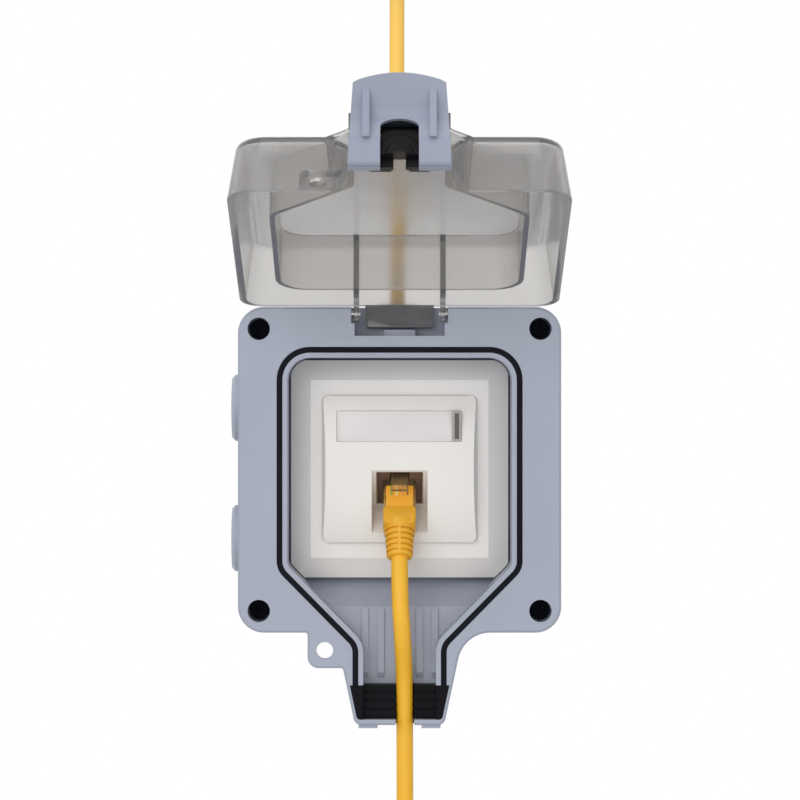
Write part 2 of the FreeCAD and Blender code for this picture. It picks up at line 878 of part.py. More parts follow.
def plug_slot(clearance, front_end, rear_end):
    """Envelope of the plug and its lever, along the socket's axis."""
    half_w = plug_width / 2 + clearance
    half_h = plug_height / 2 + clearance
    body = local_box(half_w, plug_drop - half_h, plug_drop + half_h, front_end, rear_end)
    lever = local_box(lever_width / 2 + clearance + lever_side_gap, plug_drop + half_h - small_overlap,
                      plug_drop + plug_height / 2 + lever_rise + lever_thick + clearance, front_end, rear_end)
    return body.fuse(lever)


def make_jack_body():
    body = local_box(jack_half, -jack_half, jack_half, jack_front - jack_length, jack_front)
    nose = plug_front - plug_nose_gap
    body = body.cut(plug_slot(plug_clearance, nose, jack_front + past))
    low = plug_drop - plug_height / 2
    wires = local_box(blade_pitch * blade_count / 2, low - contact_room, low, nose,
                      jack_front - contact_room_end)
    return jack_place(body.cut(wires))


def blade_places():
    return [(i - (blade_count - 1) / 2) * blade_pitch for i in range(blade_count)]


def make_jack_contacts():
    """Eight spring wires in the channel under the plug."""
    low = plug_drop - plug_height / 2
    wires = []
    for x in blade_places():
        side = x - blade_thick / 2
        wire = Part.makeBox(blade_thick, contact_wire, contact_length,
                            Vector(side, low - contact_drop, plug_front + contact_start))
        tip = Part.makeBox(blade_thick, contact_tip_height, contact_tip_length,
                           Vector(side, low - contact_tip_drop, plug_front + contact_tip_start))
        wires.append(jack_place(fuse(wire, tip)))
    return Part.makeCompound(wires)


def plug_shape():
    half_w, half_h = plug_width / 2, plug_height / 2
    body = local_box(half_w, plug_drop - half_h, plug_drop + half_h, plug_front, plug_rear)
    long_edges = [e for e in body.Edges if abs(e.Length - plug_rear + plug_front) < pick]
    body = body.makeChamfer(plug_edge, long_edges)
    top = plug_drop + half_h
    under, over = top + lever_rise, top + lever_rise + lever_thick
    nose, heel, root = [plug_front + along for along in lever_root]
    bend, end = plug_front + lever_bend, plug_front + lever_length
    points = [(top - overlap, heel), (top + lever_root_rise, nose), (over, bend), (over, end),
              (under, end), (under, bend), (top + lever_root_rise, root), (top - overlap, root)]
    wire = Part.makePolygon([Vector(-lever_width / 2, y, z) for y, z in points + points[:1]])
    lever = Part.Face(wire).extrude(Vector(lever_width, 0, 0))
    body = fuse(body, lever)
    for x in blade_places():
        body = body.cut(blade(x, blade_gap))
    return body


def blade(x, grow):
    low = plug_drop - plug_height / 2
    return Part.makeBox(blade_thick + 2 * grow, blade_height + 2 * grow, blade_length + 2 * grow,
                        Vector(x - blade_thick / 2 - grow, low - grow, plug_front + blade_start - grow))


def make_blades():
    return Part.makeCompound([blade(x, 0) for x in blade_places()])


def make_terminal_cap():
    rear = jack_front - jack_length
    body = jack_place(local_box(jack_half, cap_step - jack_half, jack_half, rear - cap_length, rear))
    collar = Part.makeCylinder(cap_collar_radius, cap_collar_top - cap_collar_bottom,
                               Vector(cable_x, -cable_depth, cap_collar_bottom))
    collar = collar.cut(jack_place(local_box(jack_half + past, -beyond, beyond, rear, beyond)))
    return fuse(body, collar).cut(Part.makeCylinder(cable_radius + cable_fit, beyond,
                                                    Vector(cable_x, -cable_depth, cable_start - cable_fit)))


def boot_shape(cord_end, rows):
    """Moulded boot: a square block, then a round tail with rows of slots that leans towards the cord."""
    half = boot_width / 2
    tall = half - boot_block_trim
    block_part = local_box(half, plug_drop - tall, plug_drop + tall, plug_rear, plug_rear + boot_block)
    long_edges = [e for e in block_part.Edges if abs(e.Length - boot_block) < pick]
    block_part = block_part.makeChamfer(boot_edge, long_edges)
    tail = Part.makeCone(boot_neck_radius, boot_tail_radius, boot_tail, Vector(0, 0, 0), Vector(0, 0, 1))
    end_edges = [e for e in tail.Edges if abs(e.BoundBox.ZMin - boot_tail) < pick]
    tail = tail.makeChamfer(boot_tail_edge, end_edges)
    for row in range(rows):
        z = boot_tail - boot_first_row - row * boot_row_pitch - boot_groove / 2
        left = Part.makeBox(boot_groove_reach, 2 * beyond, boot_groove, Vector(boot_spine, -beyond, z))
        left = left.cut(Part.makeBox(boot_groove_reach, 2 * boot_web, boot_groove,
                                     Vector(boot_spine, -boot_web, z)))
        tail = tail.cut(left).cut(left.mirror(Vector(0, 0, 0), Vector(1, 0, 0)))
    tail.Placement = Placement(Vector(0, plug_drop, plug_rear + boot_block - boot_block_overlap),
                               Rotation(Vector(1, 0, 0), cord_end))
    return fuse(block_part, tail)


def boot_mouth(cord_end):
    """Centre of the boot's end and the direction in which the cord leaves it, round the socket's axis."""
    angle = math.radians(cord_end)
    out = Vector(0, -math.sin(angle), math.cos(angle))
    return Vector(0, plug_drop, plug_rear + boot_block - boot_block_overlap) + out * boot_tail, out


def tube(points, radius, report):
    """Straight runs joined by tangent arcs, each as large as its two runs allow."""
    points = [Vector(*p) for p in points]
    edges = []
    start = points[0]
    radii = []
    for before, corner, after in zip(points, points[1:], points[2:]):
        back, ahead = before - corner, after - corner
        run = min(back.Length, ahead.Length)
        back.normalize()
        ahead.normalize()
        half_turn = (math.pi - back.getAngle(ahead)) / 2
        reach = bend_share * run
        bend = reach / math.tan(half_turn)
        radii.append(round(bend, 1))
        into, out_of = corner + back * reach, corner + ahead * reach
        middle = back + ahead
        middle.normalize()
        centre = corner + middle * (bend / math.cos(half_turn))
        edges.append(Part.LineSegment(start, into).toShape())
        edges.append(Part.Arc(into, centre - middle * bend, out_of).toShape())
        start = out_of
    edges.append(Part.LineSegment(start, points[-1]).toShape())
    path = Part.Wire(edges)
    section = Part.Wire(Part.makeCircle(radius, points[0], points[1] - points[0]))
    body = path.makePipeShell([section], True, True)
    wanted = math.pi * radius ** 2 * path.Length
    print(report, "radii", radii, "length", round(path.Length, 1),
          "volume ratio", round(body.Volume / wanted, 4))
    return body


def patch_route():
    """From the boot's mouth down the chute, through the outlet and on to the coil."""
    mouth, out = boot_mouth(boot_bend)
    matrix = jack_place(Part.Vertex(0, 0, 0)).Placement
    first = matrix.multVec(mouth)
    direction = matrix.Rotation.multVec(out)
    second = first + direction * cord_lead
    bends = [(x, -front - proud, neck_end + above)
             for x, proud, above in (cord_over_lip, cord_in_chute, cord_in_outlet, cord_below)]
    return [tuple(first), tuple(second), *bends, (cord_x, -cord_outlet_depth, coil_z + coil_lead)]


def cable_route():
    return [(cable_x, -cable_depth, cable_start), (cable_x + cable_sway, -cable_depth, cable_bends[0]),
            (cable_x - cable_sway, -cable_depth, cable_bends[1]),
            (cable_x, -cable_depth, conduit_bottom + conduit_insert)]


def coil_route():
    """Down the left side, once round and half round again, and up the right side."""
    steps = round(360 * coil_turns / coil_step)
    points = [(cord_x, -cord_outlet_depth, coil_z + coil_lead)]
    for i, sway in enumerate(coil_sway):
        points.append((cord_x + sway, -cord_outlet_depth, coil_z + coil_lead - (i + 1) * coil_lead_step))
    for i in range(steps):
        angle = coil_step * (i + 0.5)
        share = min(max((angle - coil_cross_from) / (coil_cross_to - coil_cross_from), 0.0), 1.0)
        reach = coil_radius / math.cos(math.radians(coil_step / 2))
        points.append((cord_x + coil_radius - reach * math.cos(math.radians(angle)),
                       -cord_outlet_depth - share * coil_spacing,
                       coil_z - reach * math.sin(math.radians(angle))))
    side, depth = cord_x + 2 * coil_radius, cord_outlet_depth + coil_spacing
    points.append((side + far_sway, -depth, coil_z + far_bend))
    points.append((side, -depth, coil_z + far_lead))
    return points


def make_cord_tie():
    """Strap round both turns at the foot of the coil."""
    near, far = cord_outlet_depth - cord_radius, cord_outlet_depth + coil_spacing + cord_radius
    foot = coil_z - coil_radius - cord_radius
    head = coil_z - coil_radius + cord_radius + tie_sag
    centre = cord_x + coil_radius
    half = tie_width / 2
    wall = tie_gap + tie_thick
    outer = block(centre - half, centre + half, near - wall, far + wall, foot - wall, head + wall)
    outer = outer.makeChamfer(tie_thick, [e for e in outer.Edges if abs(e.Length - tie_width) < pick])
    return outer.cut(block(centre - tie_width, centre + tie_width, near - tie_gap, far + tie_gap,
                           foot - tie_gap, head + tie_gap))


def far_place(shape):
    """Puts the second plug at the end of the coil, its nose up."""
    mouth = boot_mouth(0.0)[0]
    turn = Rotation(Vector(1, 0, 0), 180)
    target = Vector(cord_x + 2 * coil_radius, -cord_outlet_depth - coil_spacing, coil_z + far_lead + far_gap)
    shape.Placement = Placement(target - turn.multVec(mouth), turn)
    return shape


def make_blank(z):
    side = box_inset - half_x
    radius = entry_radius - blank_gap
    flange = cross_rod(blank_flange_radius, side - blank_flange_thick, side, entry_depth, z)
    rim_edges = [e for e in flange.Edges if abs(e.BoundBox.XMax - side + blank_flange_thick) < pick]
    flange = flange.makeChamfer(blank_flange_edge, rim_edges)
    body = cross_rod(radius, side - small_overlap, side + blank_body_length, entry_depth, z)
    hollow = cross_rod(radius - blank_wall, side, side + beyond, entry_depth, z)
    return fuse(flange, body.cut(hollow))


def make_top_bush():
    top = half_z - box_inset
    at = Vector(cable_x, -cable_depth, 0)
    groove = Part.makeCylinder(bush_groove_radius - bush_gap, box_wall + 2 * small_overlap,
                               at + Vector(0, 0, top - box_wall - small_overlap))
    upper = Part.makeCone(bush_flange_radius, bush_flange_radius - bush_cone, bush_flange_thick,
                          at + Vector(0, 0, top))
    lower = Part.makeCylinder(bush_flange_radius - bush_inner_step, bush_flange_thick,
                              at + Vector(0, 0, top - box_wall - bush_flange_thick))
    body = fuse(groove, upper, lower)
    return body.cut(Part.makeCylinder(cable_radius + bush_cable_gap, beyond,
                                      at + Vector(0, 0, top - beyond / 2)))


def make_conduit_end():
    at = Vector(cable_x, -cable_depth, conduit_bottom)
    body = Part.makeCylinder(conduit_radius, conduit_length, at)
    body = body.makeChamfer(conduit_edge, [e for e in body.Edges if e.Curve.TypeId == "Part::GeomCircle"])
    foot = block(cable_x - conduit_foot_half, cable_x + conduit_foot_half, 0, cable_depth,
                 conduit_bottom + conduit_foot_inset, conduit_bottom + conduit_length - conduit_foot_inset)
    body = fuse(body, foot)
    return body.cut(Part.makeCylinder(cable_radius + cable_fit, conduit_insert + cable_fit, at))


def lid_corners(inset):
    half, top, bottom = lid_half, hinge_z + lid_above_hinge, hinge_z - lid_below_hinge
    end = lid_neck_end
    neck, tip = neck_half(bottom) - lid_neck_gap, neck_half(end) - lid_neck_gap
    return outline([(half, top, lid_top_corner), (half, bottom, lid_free_corner), (neck, bottom, neck_flare),
                    (tip, end, lid_neck_corner), (-tip, end, lid_neck_corner), (-neck, bottom, neck_flare),
                    (-half, bottom, lid_free_corner), (-half, top, lid_top_corner)], -inset)


def lid_form(inset, below_rim):
    """Outer body of the lid, or with an inset the room inside its wall."""
    tall = rim + lid_height - inset
    body = slab(lid_corners(inset), rim - below_rim, tall)
    if inset < lid_edge:
        top_edges = [e for e in body.Edges if abs(e.BoundBox.YMax + tall) < pick]
        body = body.makeChamfer(lid_edge - inset, top_edges)
    steep = (lid_height - lid_neck_height) / (lid_bend_z - lid_neck_end)
    low = lid_neck_end - beyond
    return body.cut(side_prism([(tall, lid_bend_z), (tall + past, lid_bend_z), (tall + past, low),
                                (tall - steep * (lid_bend_z - low), low)], -frame_width, frame_width))


def make_lid_shell():
    outer = lid_form(0.0, 0.0)
    room = lid_form(lid_wall, lid_below_rim)
    rib_end = seal_corners(lid_neck_end + overlap)
    rib = slab(outline(rib_end, -lid_rib_inset), rim, rim + lid_height).cut(
        slab(outline(rib_end, -lid_rib_inset - lid_rib), 0, rim + lid_height + past))
    rib = rib.common(block(-seal_half, seal_half, 0, rim + lid_height, outlet_top, half_z))
    pieces = [rib.common(outer)]
    arm_top = hinge_z + lid_above_hinge - lid_wall / 2
    arm_bottom = seal_half - lid_rib_inset - lid_rib / 2
    for x0, x1 in ((-arm_outer, -arm_inner), (arm_inner, arm_outer)):
        web = block(x0, x1, rim, rim + lid_height, arm_bottom, arm_top).common(outer)
        link = block(x0, x1, hinge_depth, rim + past, hinge_z - knuckle_radius, hinge_z + knuckle_radius)
        pieces += [web, link, cross_rod(knuckle_radius, x0, x1, hinge_depth, hinge_z)]
    flap_top = hinge_z + lid_above_hinge
    pieces.append(block(-flap_half, flap_half, rim - flap_reach, rim + past, flap_top - lid_wall, flap_top))
    lug_inner, lug_upper = past - neck_half(tab_bottom), hinge_z - lid_below_hinge + past
    lug = slab(outline([(lug_inner, lug_upper, 0), (lug_inner, tab_bottom, 0),
                        (-tab_left, tab_bottom, tab_corner), (-tab_left, lug_upper, 0)]),
               rim, rim + lid_lug_thick)
    pieces.append(lug.cut(room))
    depth, z = latch_pivot()
    near, far = depth - latch_knuckle, depth + latch_knuckle
    reach = lid_neck_end + overlap
    for x0, x1 in ((-latch_ear_outer, -latch_ear_inner), (latch_ear_inner, latch_ear_outer)):
        ear = side_prism([(near, z), (far, z), (far + latch_ear_spread, reach),
                          (near - latch_ear_spread, reach)], x0, x1)
        pieces += [ear, cross_rod(latch_knuckle, x0, x1, depth, z)]
    body = fuse(outer.cut(room), *pieces)
    body = body.cut(cross_rod(hinge_pin_radius + pin_play, -frame_width, frame_width, hinge_depth, hinge_z)
                    .common(block(-frame_width, frame_width, 0, rim, 0, frame_height)))
    body = body.cut(cross_rod(latch_pin_radius, -latch_ear_outer - past, latch_ear_outer + past, depth, z))
    body = body.cut(rod(eye_radius, eye_x, eye_z, 0, rim + lid_lug_thick + past))
    return body.cut(grommet_disc(grommet_body + grommet_play, lid_neck_end - past,
                                 lid_neck_end + lid_wall + past))


def latch_pivot():
    return rim + latch_pivot_front, neck_end - latch_pivot_below


def grommet_disc(radius, z0, z1):
    """The part of a round disc that lies on the lid's side of the rim plane."""
    disc = Part.makeCylinder(radius, z1 - z0, Vector(0, grommet_sink - rim, z0))
    return disc.common(block(-radius, radius, rim, rim + radius + past, z0, z1))


def make_lid_grommet():
    outer_z, inner_z = lid_neck_end, lid_neck_end + lid_wall
    flange_z = inner_z + grommet_thick
    flange = grommet_disc(grommet_flange, inner_z + grommet_gap, flange_z)
    body = fuse(flange, grommet_disc(grommet_body, outer_z, inner_z + 2 * grommet_gap))
    body = fuse(body, grommet_disc(grommet_core, outer_z - grommet_step, outer_z + small_overlap))
    feet = [block(x0, x1, rim - grommet_foot_reach, rim + grommet_thick, inner_z + grommet_gap,
                  grommet_foot_start)
            for x0, x1 in ((-grommet_foot_half, grommet_foot_gap_left),
                           (grommet_foot_gap_right, grommet_foot_half))]
    body = fuse(body, *feet)
    return body.cut(block(-grommet_notch, grommet_notch, 0, rim + grommet_notch,
                          outer_z - grommet_notch, flange_z + past))


def latch_points(inner):
    """Side profile of the latch as (depth, z), outside, then inside."""
    points = [(rim + front_of, neck_end - below) for below, front_of in
              (latch_tab, latch_valley, latch_ridge, latch_toe)]
    return [(depth, z + inner) for depth, z in points]


def make_latch():
    tab, valley, ridge, toe = latch_points(0.0)
    inner = latch_points(latch_thick)
    body = side_prism([tab, valley, ridge, toe] + inner[::-1], -latch_toe_half, latch_toe_half)
    toe_depth = toe[0]
    hook = block(-latch_toe_half, latch_toe_half, toe_depth, toe_depth + latch_hook_thick,
                 toe[1], neck_end - hook_play)
    body = fuse(body, hook)
    depth, z = latch_pivot()
    gussets = []
    for x in (-latch_gusset_x, latch_gusset_x):
        upper = tuple(low + latch_gusset_share * (high - low) for low, high in zip(valley, tab))
        gussets.append(side_prism([upper, (valley[0], valley[1] + overlap), ridge],
                                  x - latch_gusset / 2, x + latch_gusset / 2))
    foot = [(depth - latch_knuckle, z), (depth + latch_knuckle, z),
            (valley[0] - latch_foot_narrow[1], valley[1] + latch_foot_narrow[0]),
            (depth - latch_foot_wide[0], valley[1] + latch_foot_wide[1])]
    knuckles = []
    for x0, x1 in ((-latch_ear_inner + latch_play, -latch_knuckle_inner),
                   (latch_knuckle_inner, latch_ear_inner - latch_play)):
        knuckles += [cross_rod(latch_knuckle, x0, x1, depth, z), side_prism(foot, x0, x1)]
    body = fuse(body, *gussets, *knuckles)
    slot_top = rim + latch_slot_top - latch_slot_half
    slot = block(-latch_slot_half, latch_slot_half, toe_depth - past, slot_top, z - beyond, z + beyond)
    round_top = Part.makeCylinder(latch_slot_half, 2 * beyond, Vector(0, -slot_top, z - beyond))
    body = body.cut(slot.fuse(round_top))
    for x0, x1 in ((-latch_ear_outer - latch_play, -latch_ear_inner + latch_play),
                   (latch_ear_inner - latch_play, latch_ear_outer + latch_play)):
        body = body.cut(cross_rod(latch_knuckle + 2 * latch_play, x0, x1, depth, z))
    body = body.cut(cross_rod(latch_pin_radius + pin_play, -latch_toe_half, latch_toe_half, depth, z))
    taper = math.atan((latch_toe_half - latch_top_half) / (latch_tab[1] - latch_toe[1]))
    for side in (-1, 1):
        wedge = Part.makeBox(beyond, 4 * beyond, 4 * beyond, Vector(0, -2 * beyond, -2 * beyond))
        if side < 0:
            wedge = wedge.mirror(Vector(0, 0, 0), Vector(1, 0, 0))
        wedge.Placement = Placement(Vector(side * latch_toe_half, -toe_depth, z),
                                    Rotation(Vector(0, 0, 1), side * -math.degrees(taper)))
        body = body.cut(wedge)
    return body


def opened(shape):
    """Turns a piece of the lid from its closed place to where the lid stands open."""
    shape = shape.copy()
    shape.rotate(hinge_point, Vector(1, 0, 0), -open_angle)
    return shape


def make_latch_pin():
    depth, z = latch_pivot()
    return cross_rod(latch_pin_radius, -latch_ear_outer, latch_ear_outer, depth, z)


save("back_box", make_back_box())
save("frame_gasket", make_frame_gasket())
save_front_frame()
save("frame_screws", make_frame_screws())
save("lid_seal", make_lid_seal())
save("outlet_seal", make_outlet_seal())
save("hinge_pins", make_hinge_pins())
save("mounting_bridge", make_mounting_bridge())
save("bridge_screws", make_bridge_screws())
save("cover_frame", make_cover_frame())
save("centre_plate", make_centre_plate())
save("label_card", make_label_card())
save("label_window", make_label_window())
save("jack_shield", make_jack_shield())
save("jack_body", make_jack_body())
save("jack_contacts", make_jack_contacts())
save("terminal_cap", make_terminal_cap())
save("plug_body", jack_place(plug_shape()))
save("plug_contacts", jack_place(make_blades()))
save("plug_boot", jack_place(boot_shape(boot_bend, boot_rows)))
save("patch_cord", tube(patch_route(), cord_radius, "patch_cord"))
save("patch_coil", tube(coil_route(), cord_radius, "patch_coil"))
save("cord_tie", make_cord_tie())
save("far_boot", far_place(boot_shape(0.0, 0)))
save("far_plug", far_place(plug_shape()))
save("far_contacts", far_place(make_blades()))
save("supply_cable", tube(cable_route(), cable_radius, "supply_cable"))
save("conduit_end", make_conduit_end())
save("top_entry_bush", make_top_bush())
save("entry_plug_upper", make_blank(entry_upper_z))
save("entry_plug_lower", make_blank(entry_lower_z))
save("lid_shell", opened(make_lid_shell()))
save("lid_grommet", opened(make_lid_grommet()))
save("latch_pin", opened(make_latch_pin()))
save("latch", opened(make_latch()))
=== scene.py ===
import math
import bpy
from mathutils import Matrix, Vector


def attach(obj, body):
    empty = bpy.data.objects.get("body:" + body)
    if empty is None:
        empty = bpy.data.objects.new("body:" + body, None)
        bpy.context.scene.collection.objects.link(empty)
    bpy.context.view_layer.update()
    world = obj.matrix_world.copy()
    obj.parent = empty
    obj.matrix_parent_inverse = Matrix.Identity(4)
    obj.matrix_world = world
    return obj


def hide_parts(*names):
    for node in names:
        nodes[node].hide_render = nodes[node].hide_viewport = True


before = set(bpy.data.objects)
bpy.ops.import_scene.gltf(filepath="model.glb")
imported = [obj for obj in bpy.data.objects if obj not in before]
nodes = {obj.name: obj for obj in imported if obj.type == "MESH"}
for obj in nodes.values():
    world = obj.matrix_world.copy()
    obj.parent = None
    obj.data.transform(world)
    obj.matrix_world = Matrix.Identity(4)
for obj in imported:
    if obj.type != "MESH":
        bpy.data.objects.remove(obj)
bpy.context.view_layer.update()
print("frame loaded, nodes:", len(nodes))


# An sRGB hex colour as linear red, green, blue and alpha.
def linear(hexColour):
    parts = [int(hexColour[i:i + 2], 16) / 255 for i in (1, 3, 5)]
    return [p / 12.92 if p <= 0.04045 else ((p + 0.055) / 1.055) ** 2.4 for p in parts] + [1.0]


def mm(*values):
    return Vector([v / 1000 for v in values])


# What a pick allows: how near a direction lies to an axis or how far across it, and millimetres beside a
# place, little or more. Points that are closer than the merge distance, in metres, become one.
aligned, crosswise = 0.9, 0.5
nearby, beside = 0.1, 0.5
mergeDistance = 0.000002

# The camera stands in front of the box, level with the gap between lid and frame.
cameraSetup = {"place": (0.15, -1402.0, 25.5), "lens": 166.5, "sensor": 36.0}
bpy.ops.object.camera_add(location=mm(*cameraSetup["place"]), rotation=(math.radians(90), 0, 0))
camera = bpy.context.object
camera.name = "shotCamera"
camera.data.lens = cameraSetup["lens"]
camera.data.sensor_width = cameraSetup["sensor"]
camera.data.clip_end = 20
bpy.context.scene.camera = camera
bpy.context.scene.view_settings.view_transform = "Standard"
print("camera ready")


def only(piece):
    bpy.ops.object.select_all(action="DESELECT")
    piece.select_set(True)
    bpy.context.view_layer.objects.active = piece


# Selects what passes the test, by its middle in millimetres and its direction, and stays in edit mode.
def pick(piece, kind, test):
    only(piece)
    bpy.ops.object.mode_set(mode="EDIT")
    bpy.ops.mesh.select_mode(type=kind)
    bpy.ops.mesh.select_all(action="DESELECT")
    bpy.ops.object.mode_set(mode="OBJECT")
    mesh = piece.data
    points = [vertex.co * 1000 for vertex in mesh.vertices]
    if kind == "VERT":
        found = [(v, points[v.index], v.normal) for v in mesh.vertices]
    elif kind == "EDGE":
        found = [(e, (points[e.vertices[0]] + points[e.vertices[1]]) / 2,
                  (points[e.vertices[1]] - points[e.vertices[0]]).normalized()) for e in mesh.edges]
    else:
        found = [(f, f.center * 1000, f.normal) for f in mesh.polygons]
    for element, middle, direction in found:
        element.select = bool(test(middle, direction))
    bpy.ops.object.mode_set(mode="EDIT")


def leave():
    bpy.ops.object.mode_set(mode="OBJECT")


# Selects all of a piece and stays in edit mode.
def pickAll(piece):
    only(piece)
    bpy.ops.object.mode_set(mode="EDIT")
    bpy.ops.mesh.select_mode(type="FACE")
    bpy.ops.mesh.select_all(action="SELECT")


# A cube added at its size and place, its place kept in the mesh.
def boxPiece(name, x0, x1, depth0, depth1, z0, z1):
    bpy.ops.object.select_all(action="DESELECT")
    bpy.ops.mesh.primitive_cube_add(size=1, location=mm((x0 + x1) / 2, -(depth0 + depth1) / 2, (z0 + z1) / 2),
                                    scale=mm(x1 - x0, depth1 - depth0, z1 - z0))
    piece = bpy.context.object
    piece.name = name
    bpy.ops.object.transform_apply(location=True, rotation=True, scale=True)
    return piece


# A cylinder along X, Y (as depth) or Z between two values.
def rodPiece(name, radius, along, start, end, at, sides=32):
    turn = {"X": (0, math.radians(90), 0), "Y": (math.radians(90), 0, 0), "Z": (0, 0, 0)}[along]
    middle = (start + end) / 2
    places = {"X": (middle, -at[0], at[1]), "Y": (at[0], -middle, at[1]), "Z": (at[0], -at[1], middle)}
    bpy.ops.object.select_all(action="DESELECT")
    bpy.ops.mesh.primitive_cylinder_add(vertices=sides, radius=radius / 1000, depth=(end - start) / 1000,
                                        location=mm(*places[along]), rotation=turn)
    piece = bpy.context.object
    piece.name = name
    bpy.ops.object.transform_apply(location=True, rotation=True, scale=True)
    return piece


# Bevels the edges that pass the test.
def soften(piece, test, width, segments=3):
    pick(piece, "EDGE", test)
    bpy.ops.mesh.bevel(offset=width / 1000, offset_type="OFFSET", segments=segments, profile=0.5,
                       clamp_overlap=True)
    leave()


# Adds a modifier with its settings and applies it.
def finished(piece, kind, **settings):
    only(piece)
    modifier = piece.modifiers.new(kind.lower(), kind)
    for key, value in settings.items():
        setattr(modifier, key, value)
    bpy.ops.object.modifier_apply(modifier=modifier.name)
    return piece


# Joins, cuts or keeps the overlap of two closed meshes, and drops the second.
def combine(piece, other, operation="UNION"):
    finished(piece, "BOOLEAN", operation=operation, object=other, solver="EXACT")
    bpy.data.objects.remove(other, do_unlink=True)
    return piece


# Turns a piece that is modelled upright about the X axis; with no window the operator turns the other way.
def placed(piece, degrees, centre):
    pickAll(piece)
    bpy.ops.transform.rotate(value=math.radians(degrees), orient_axis="X", orient_type="GLOBAL",
                             center_override=mm(*centre))
    leave()
    return piece


# Merges doubles, turns the faces outward and shades smooth up to an angle.
def tidied(piece, angle=35):
    pickAll(piece)
    bpy.ops.mesh.remove_doubles(threshold=mergeDistance)
    bpy.ops.mesh.normals_make_consistent(inside=False)
    leave()
    bpy.ops.object.shade_smooth_by_angle(angle=math.radians(angle))
    return piece


# Gives a finished piece its material, its body and the structure nodes that it stands for.
def shown(piece, material, body, slotName, *replaced):
    tidied(piece)
    piece.data.materials.clear()
    piece.data.materials.append(material)
    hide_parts(*replaced)
    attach(piece, body)
    return piece


# Adds a node; sockets are given by name with underscores for spaces, and links as sockets.
def addNode(tree, kind, **values):
    node = tree.nodes.new(kind)
    for key, value in values.items():
        if key.startswith("set_"):
            setattr(node, key[4:], value)
            continue
        socket = node.inputs[int(key[3:])] if key.startswith("in_") else node.inputs[key.replace("_", " ")]
        if isinstance(value, bpy.types.NodeSocket):
            tree.links.new(value, socket)
        else:
            socket.default_value = value
    return node


def startMaterial(name):
    material = bpy.data.materials.new(name)
    material.use_nodes = True
    tree = material.node_tree
    tree.nodes.clear()
    output = tree.nodes.new("ShaderNodeOutputMaterial")
    coordinates = addNode(tree, "ShaderNodeTexCoord").outputs["Object"]
    return material, tree, output, coordinates


# How many of a size in millimetres fit in a metre, which is what a pattern's scale counts.
def perMetre(size):
    return 1000 / size


# The middle of a noise, which is spread over a material's range, and the height of full bump in metres.
noiseLow, noiseHigh = 0.3, 0.7
grainHeight = 0.0001
streakHeight, streakBump = 0.00005, 0.15


# Moulded plastic, rubber, paper or weave: slow colour drift, grain in the surface, handling marks in the
# gloss. Drift, marks and grain are the patterns' sizes in millimetres.
def plastic(name, look):
    material, tree, output, place = startMaterial(name)
    drift = addNode(tree, "ShaderNodeTexNoise", Vector=place, Scale=perMetre(look["drift"]), Detail=3.0)
    spread = addNode(tree, "ShaderNodeMapRange", Value=drift.outputs["Fac"], From_Min=noiseLow,
                     From_Max=noiseHigh)
    colour = addNode(tree, "ShaderNodeMix", set_data_type="RGBA", in_0=spread.outputs["Result"],
                     in_6=linear(look["dark"]), in_7=linear(look["light"]))
    marks = addNode(tree, "ShaderNodeTexNoise", Vector=place, Scale=perMetre(look["marks"]), Detail=5.0)
    rough = addNode(tree, "ShaderNodeMapRange", Value=marks.outputs["Fac"], From_Min=noiseLow,
                    From_Max=noiseHigh, To_Min=look["rough"][0], To_Max=look["rough"][1])
    grain = addNode(tree, "ShaderNodeTexNoise", Vector=place, Scale=perMetre(look["grain"]), Detail=2.0)
    bump = addNode(tree, "ShaderNodeBump", Height=grain.outputs["Fac"], Strength=look["bump"],
                   Distance=grainHeight)
    shader = addNode(tree, "ShaderNodeBsdfPrincipled", Base_Color=colour.outputs[2],
                     Roughness=rough.outputs["Result"], Normal=bump.outputs["Normal"])
    for key, value in look.get("extra", {}).items():
        shader.inputs[key].default_value = value
    tree.links.new(shader.outputs["BSDF"], output.inputs["Surface"])
    return material


# Plated or drawn metal: streaks of a size in millimetres, stretched along the way it was worked, in its
# gloss and colour.
def metal(name, look):
    material, tree, output, place = startMaterial(name)
    streaked = addNode(tree, "ShaderNodeMapping", Vector=place, Scale=look["stretch"])
    streaks = addNode(tree, "ShaderNodeTexNoise", Vector=streaked.outputs["Vector"],
                      Scale=perMetre(look["streaks"]), Detail=4.0)
    spread = addNode(tree, "ShaderNodeMapRange", Value=streaks.outputs["Fac"], From_Min=noiseLow,
                     From_Max=noiseHigh)
    colour = addNode(tree, "ShaderNodeMix", set_data_type="RGBA", in_0=spread.outputs["Result"],
                     in_6=linear(look["dark"]), in_7=linear(look["light"]))
    rough = addNode(tree, "ShaderNodeMapRange", Value=streaks.outputs["Fac"], From_Min=noiseLow,
                    From_Max=noiseHigh, To_Min=look["rough"][0], To_Max=look["rough"][1])
    bump = addNode(tree, "ShaderNodeBump", Height=streaks.outputs["Fac"], Strength=streakBump,
                   Distance=streakHeight)
    shader = addNode(tree, "ShaderNodeBsdfPrincipled", Base_Color=colour.outputs[2],
                     Roughness=rough.outputs["Result"], Normal=bump.outputs["Normal"], Metallic=1.0)
    tree.links.new(shader.outputs["BSDF"], output.inputs["Surface"])
    return material


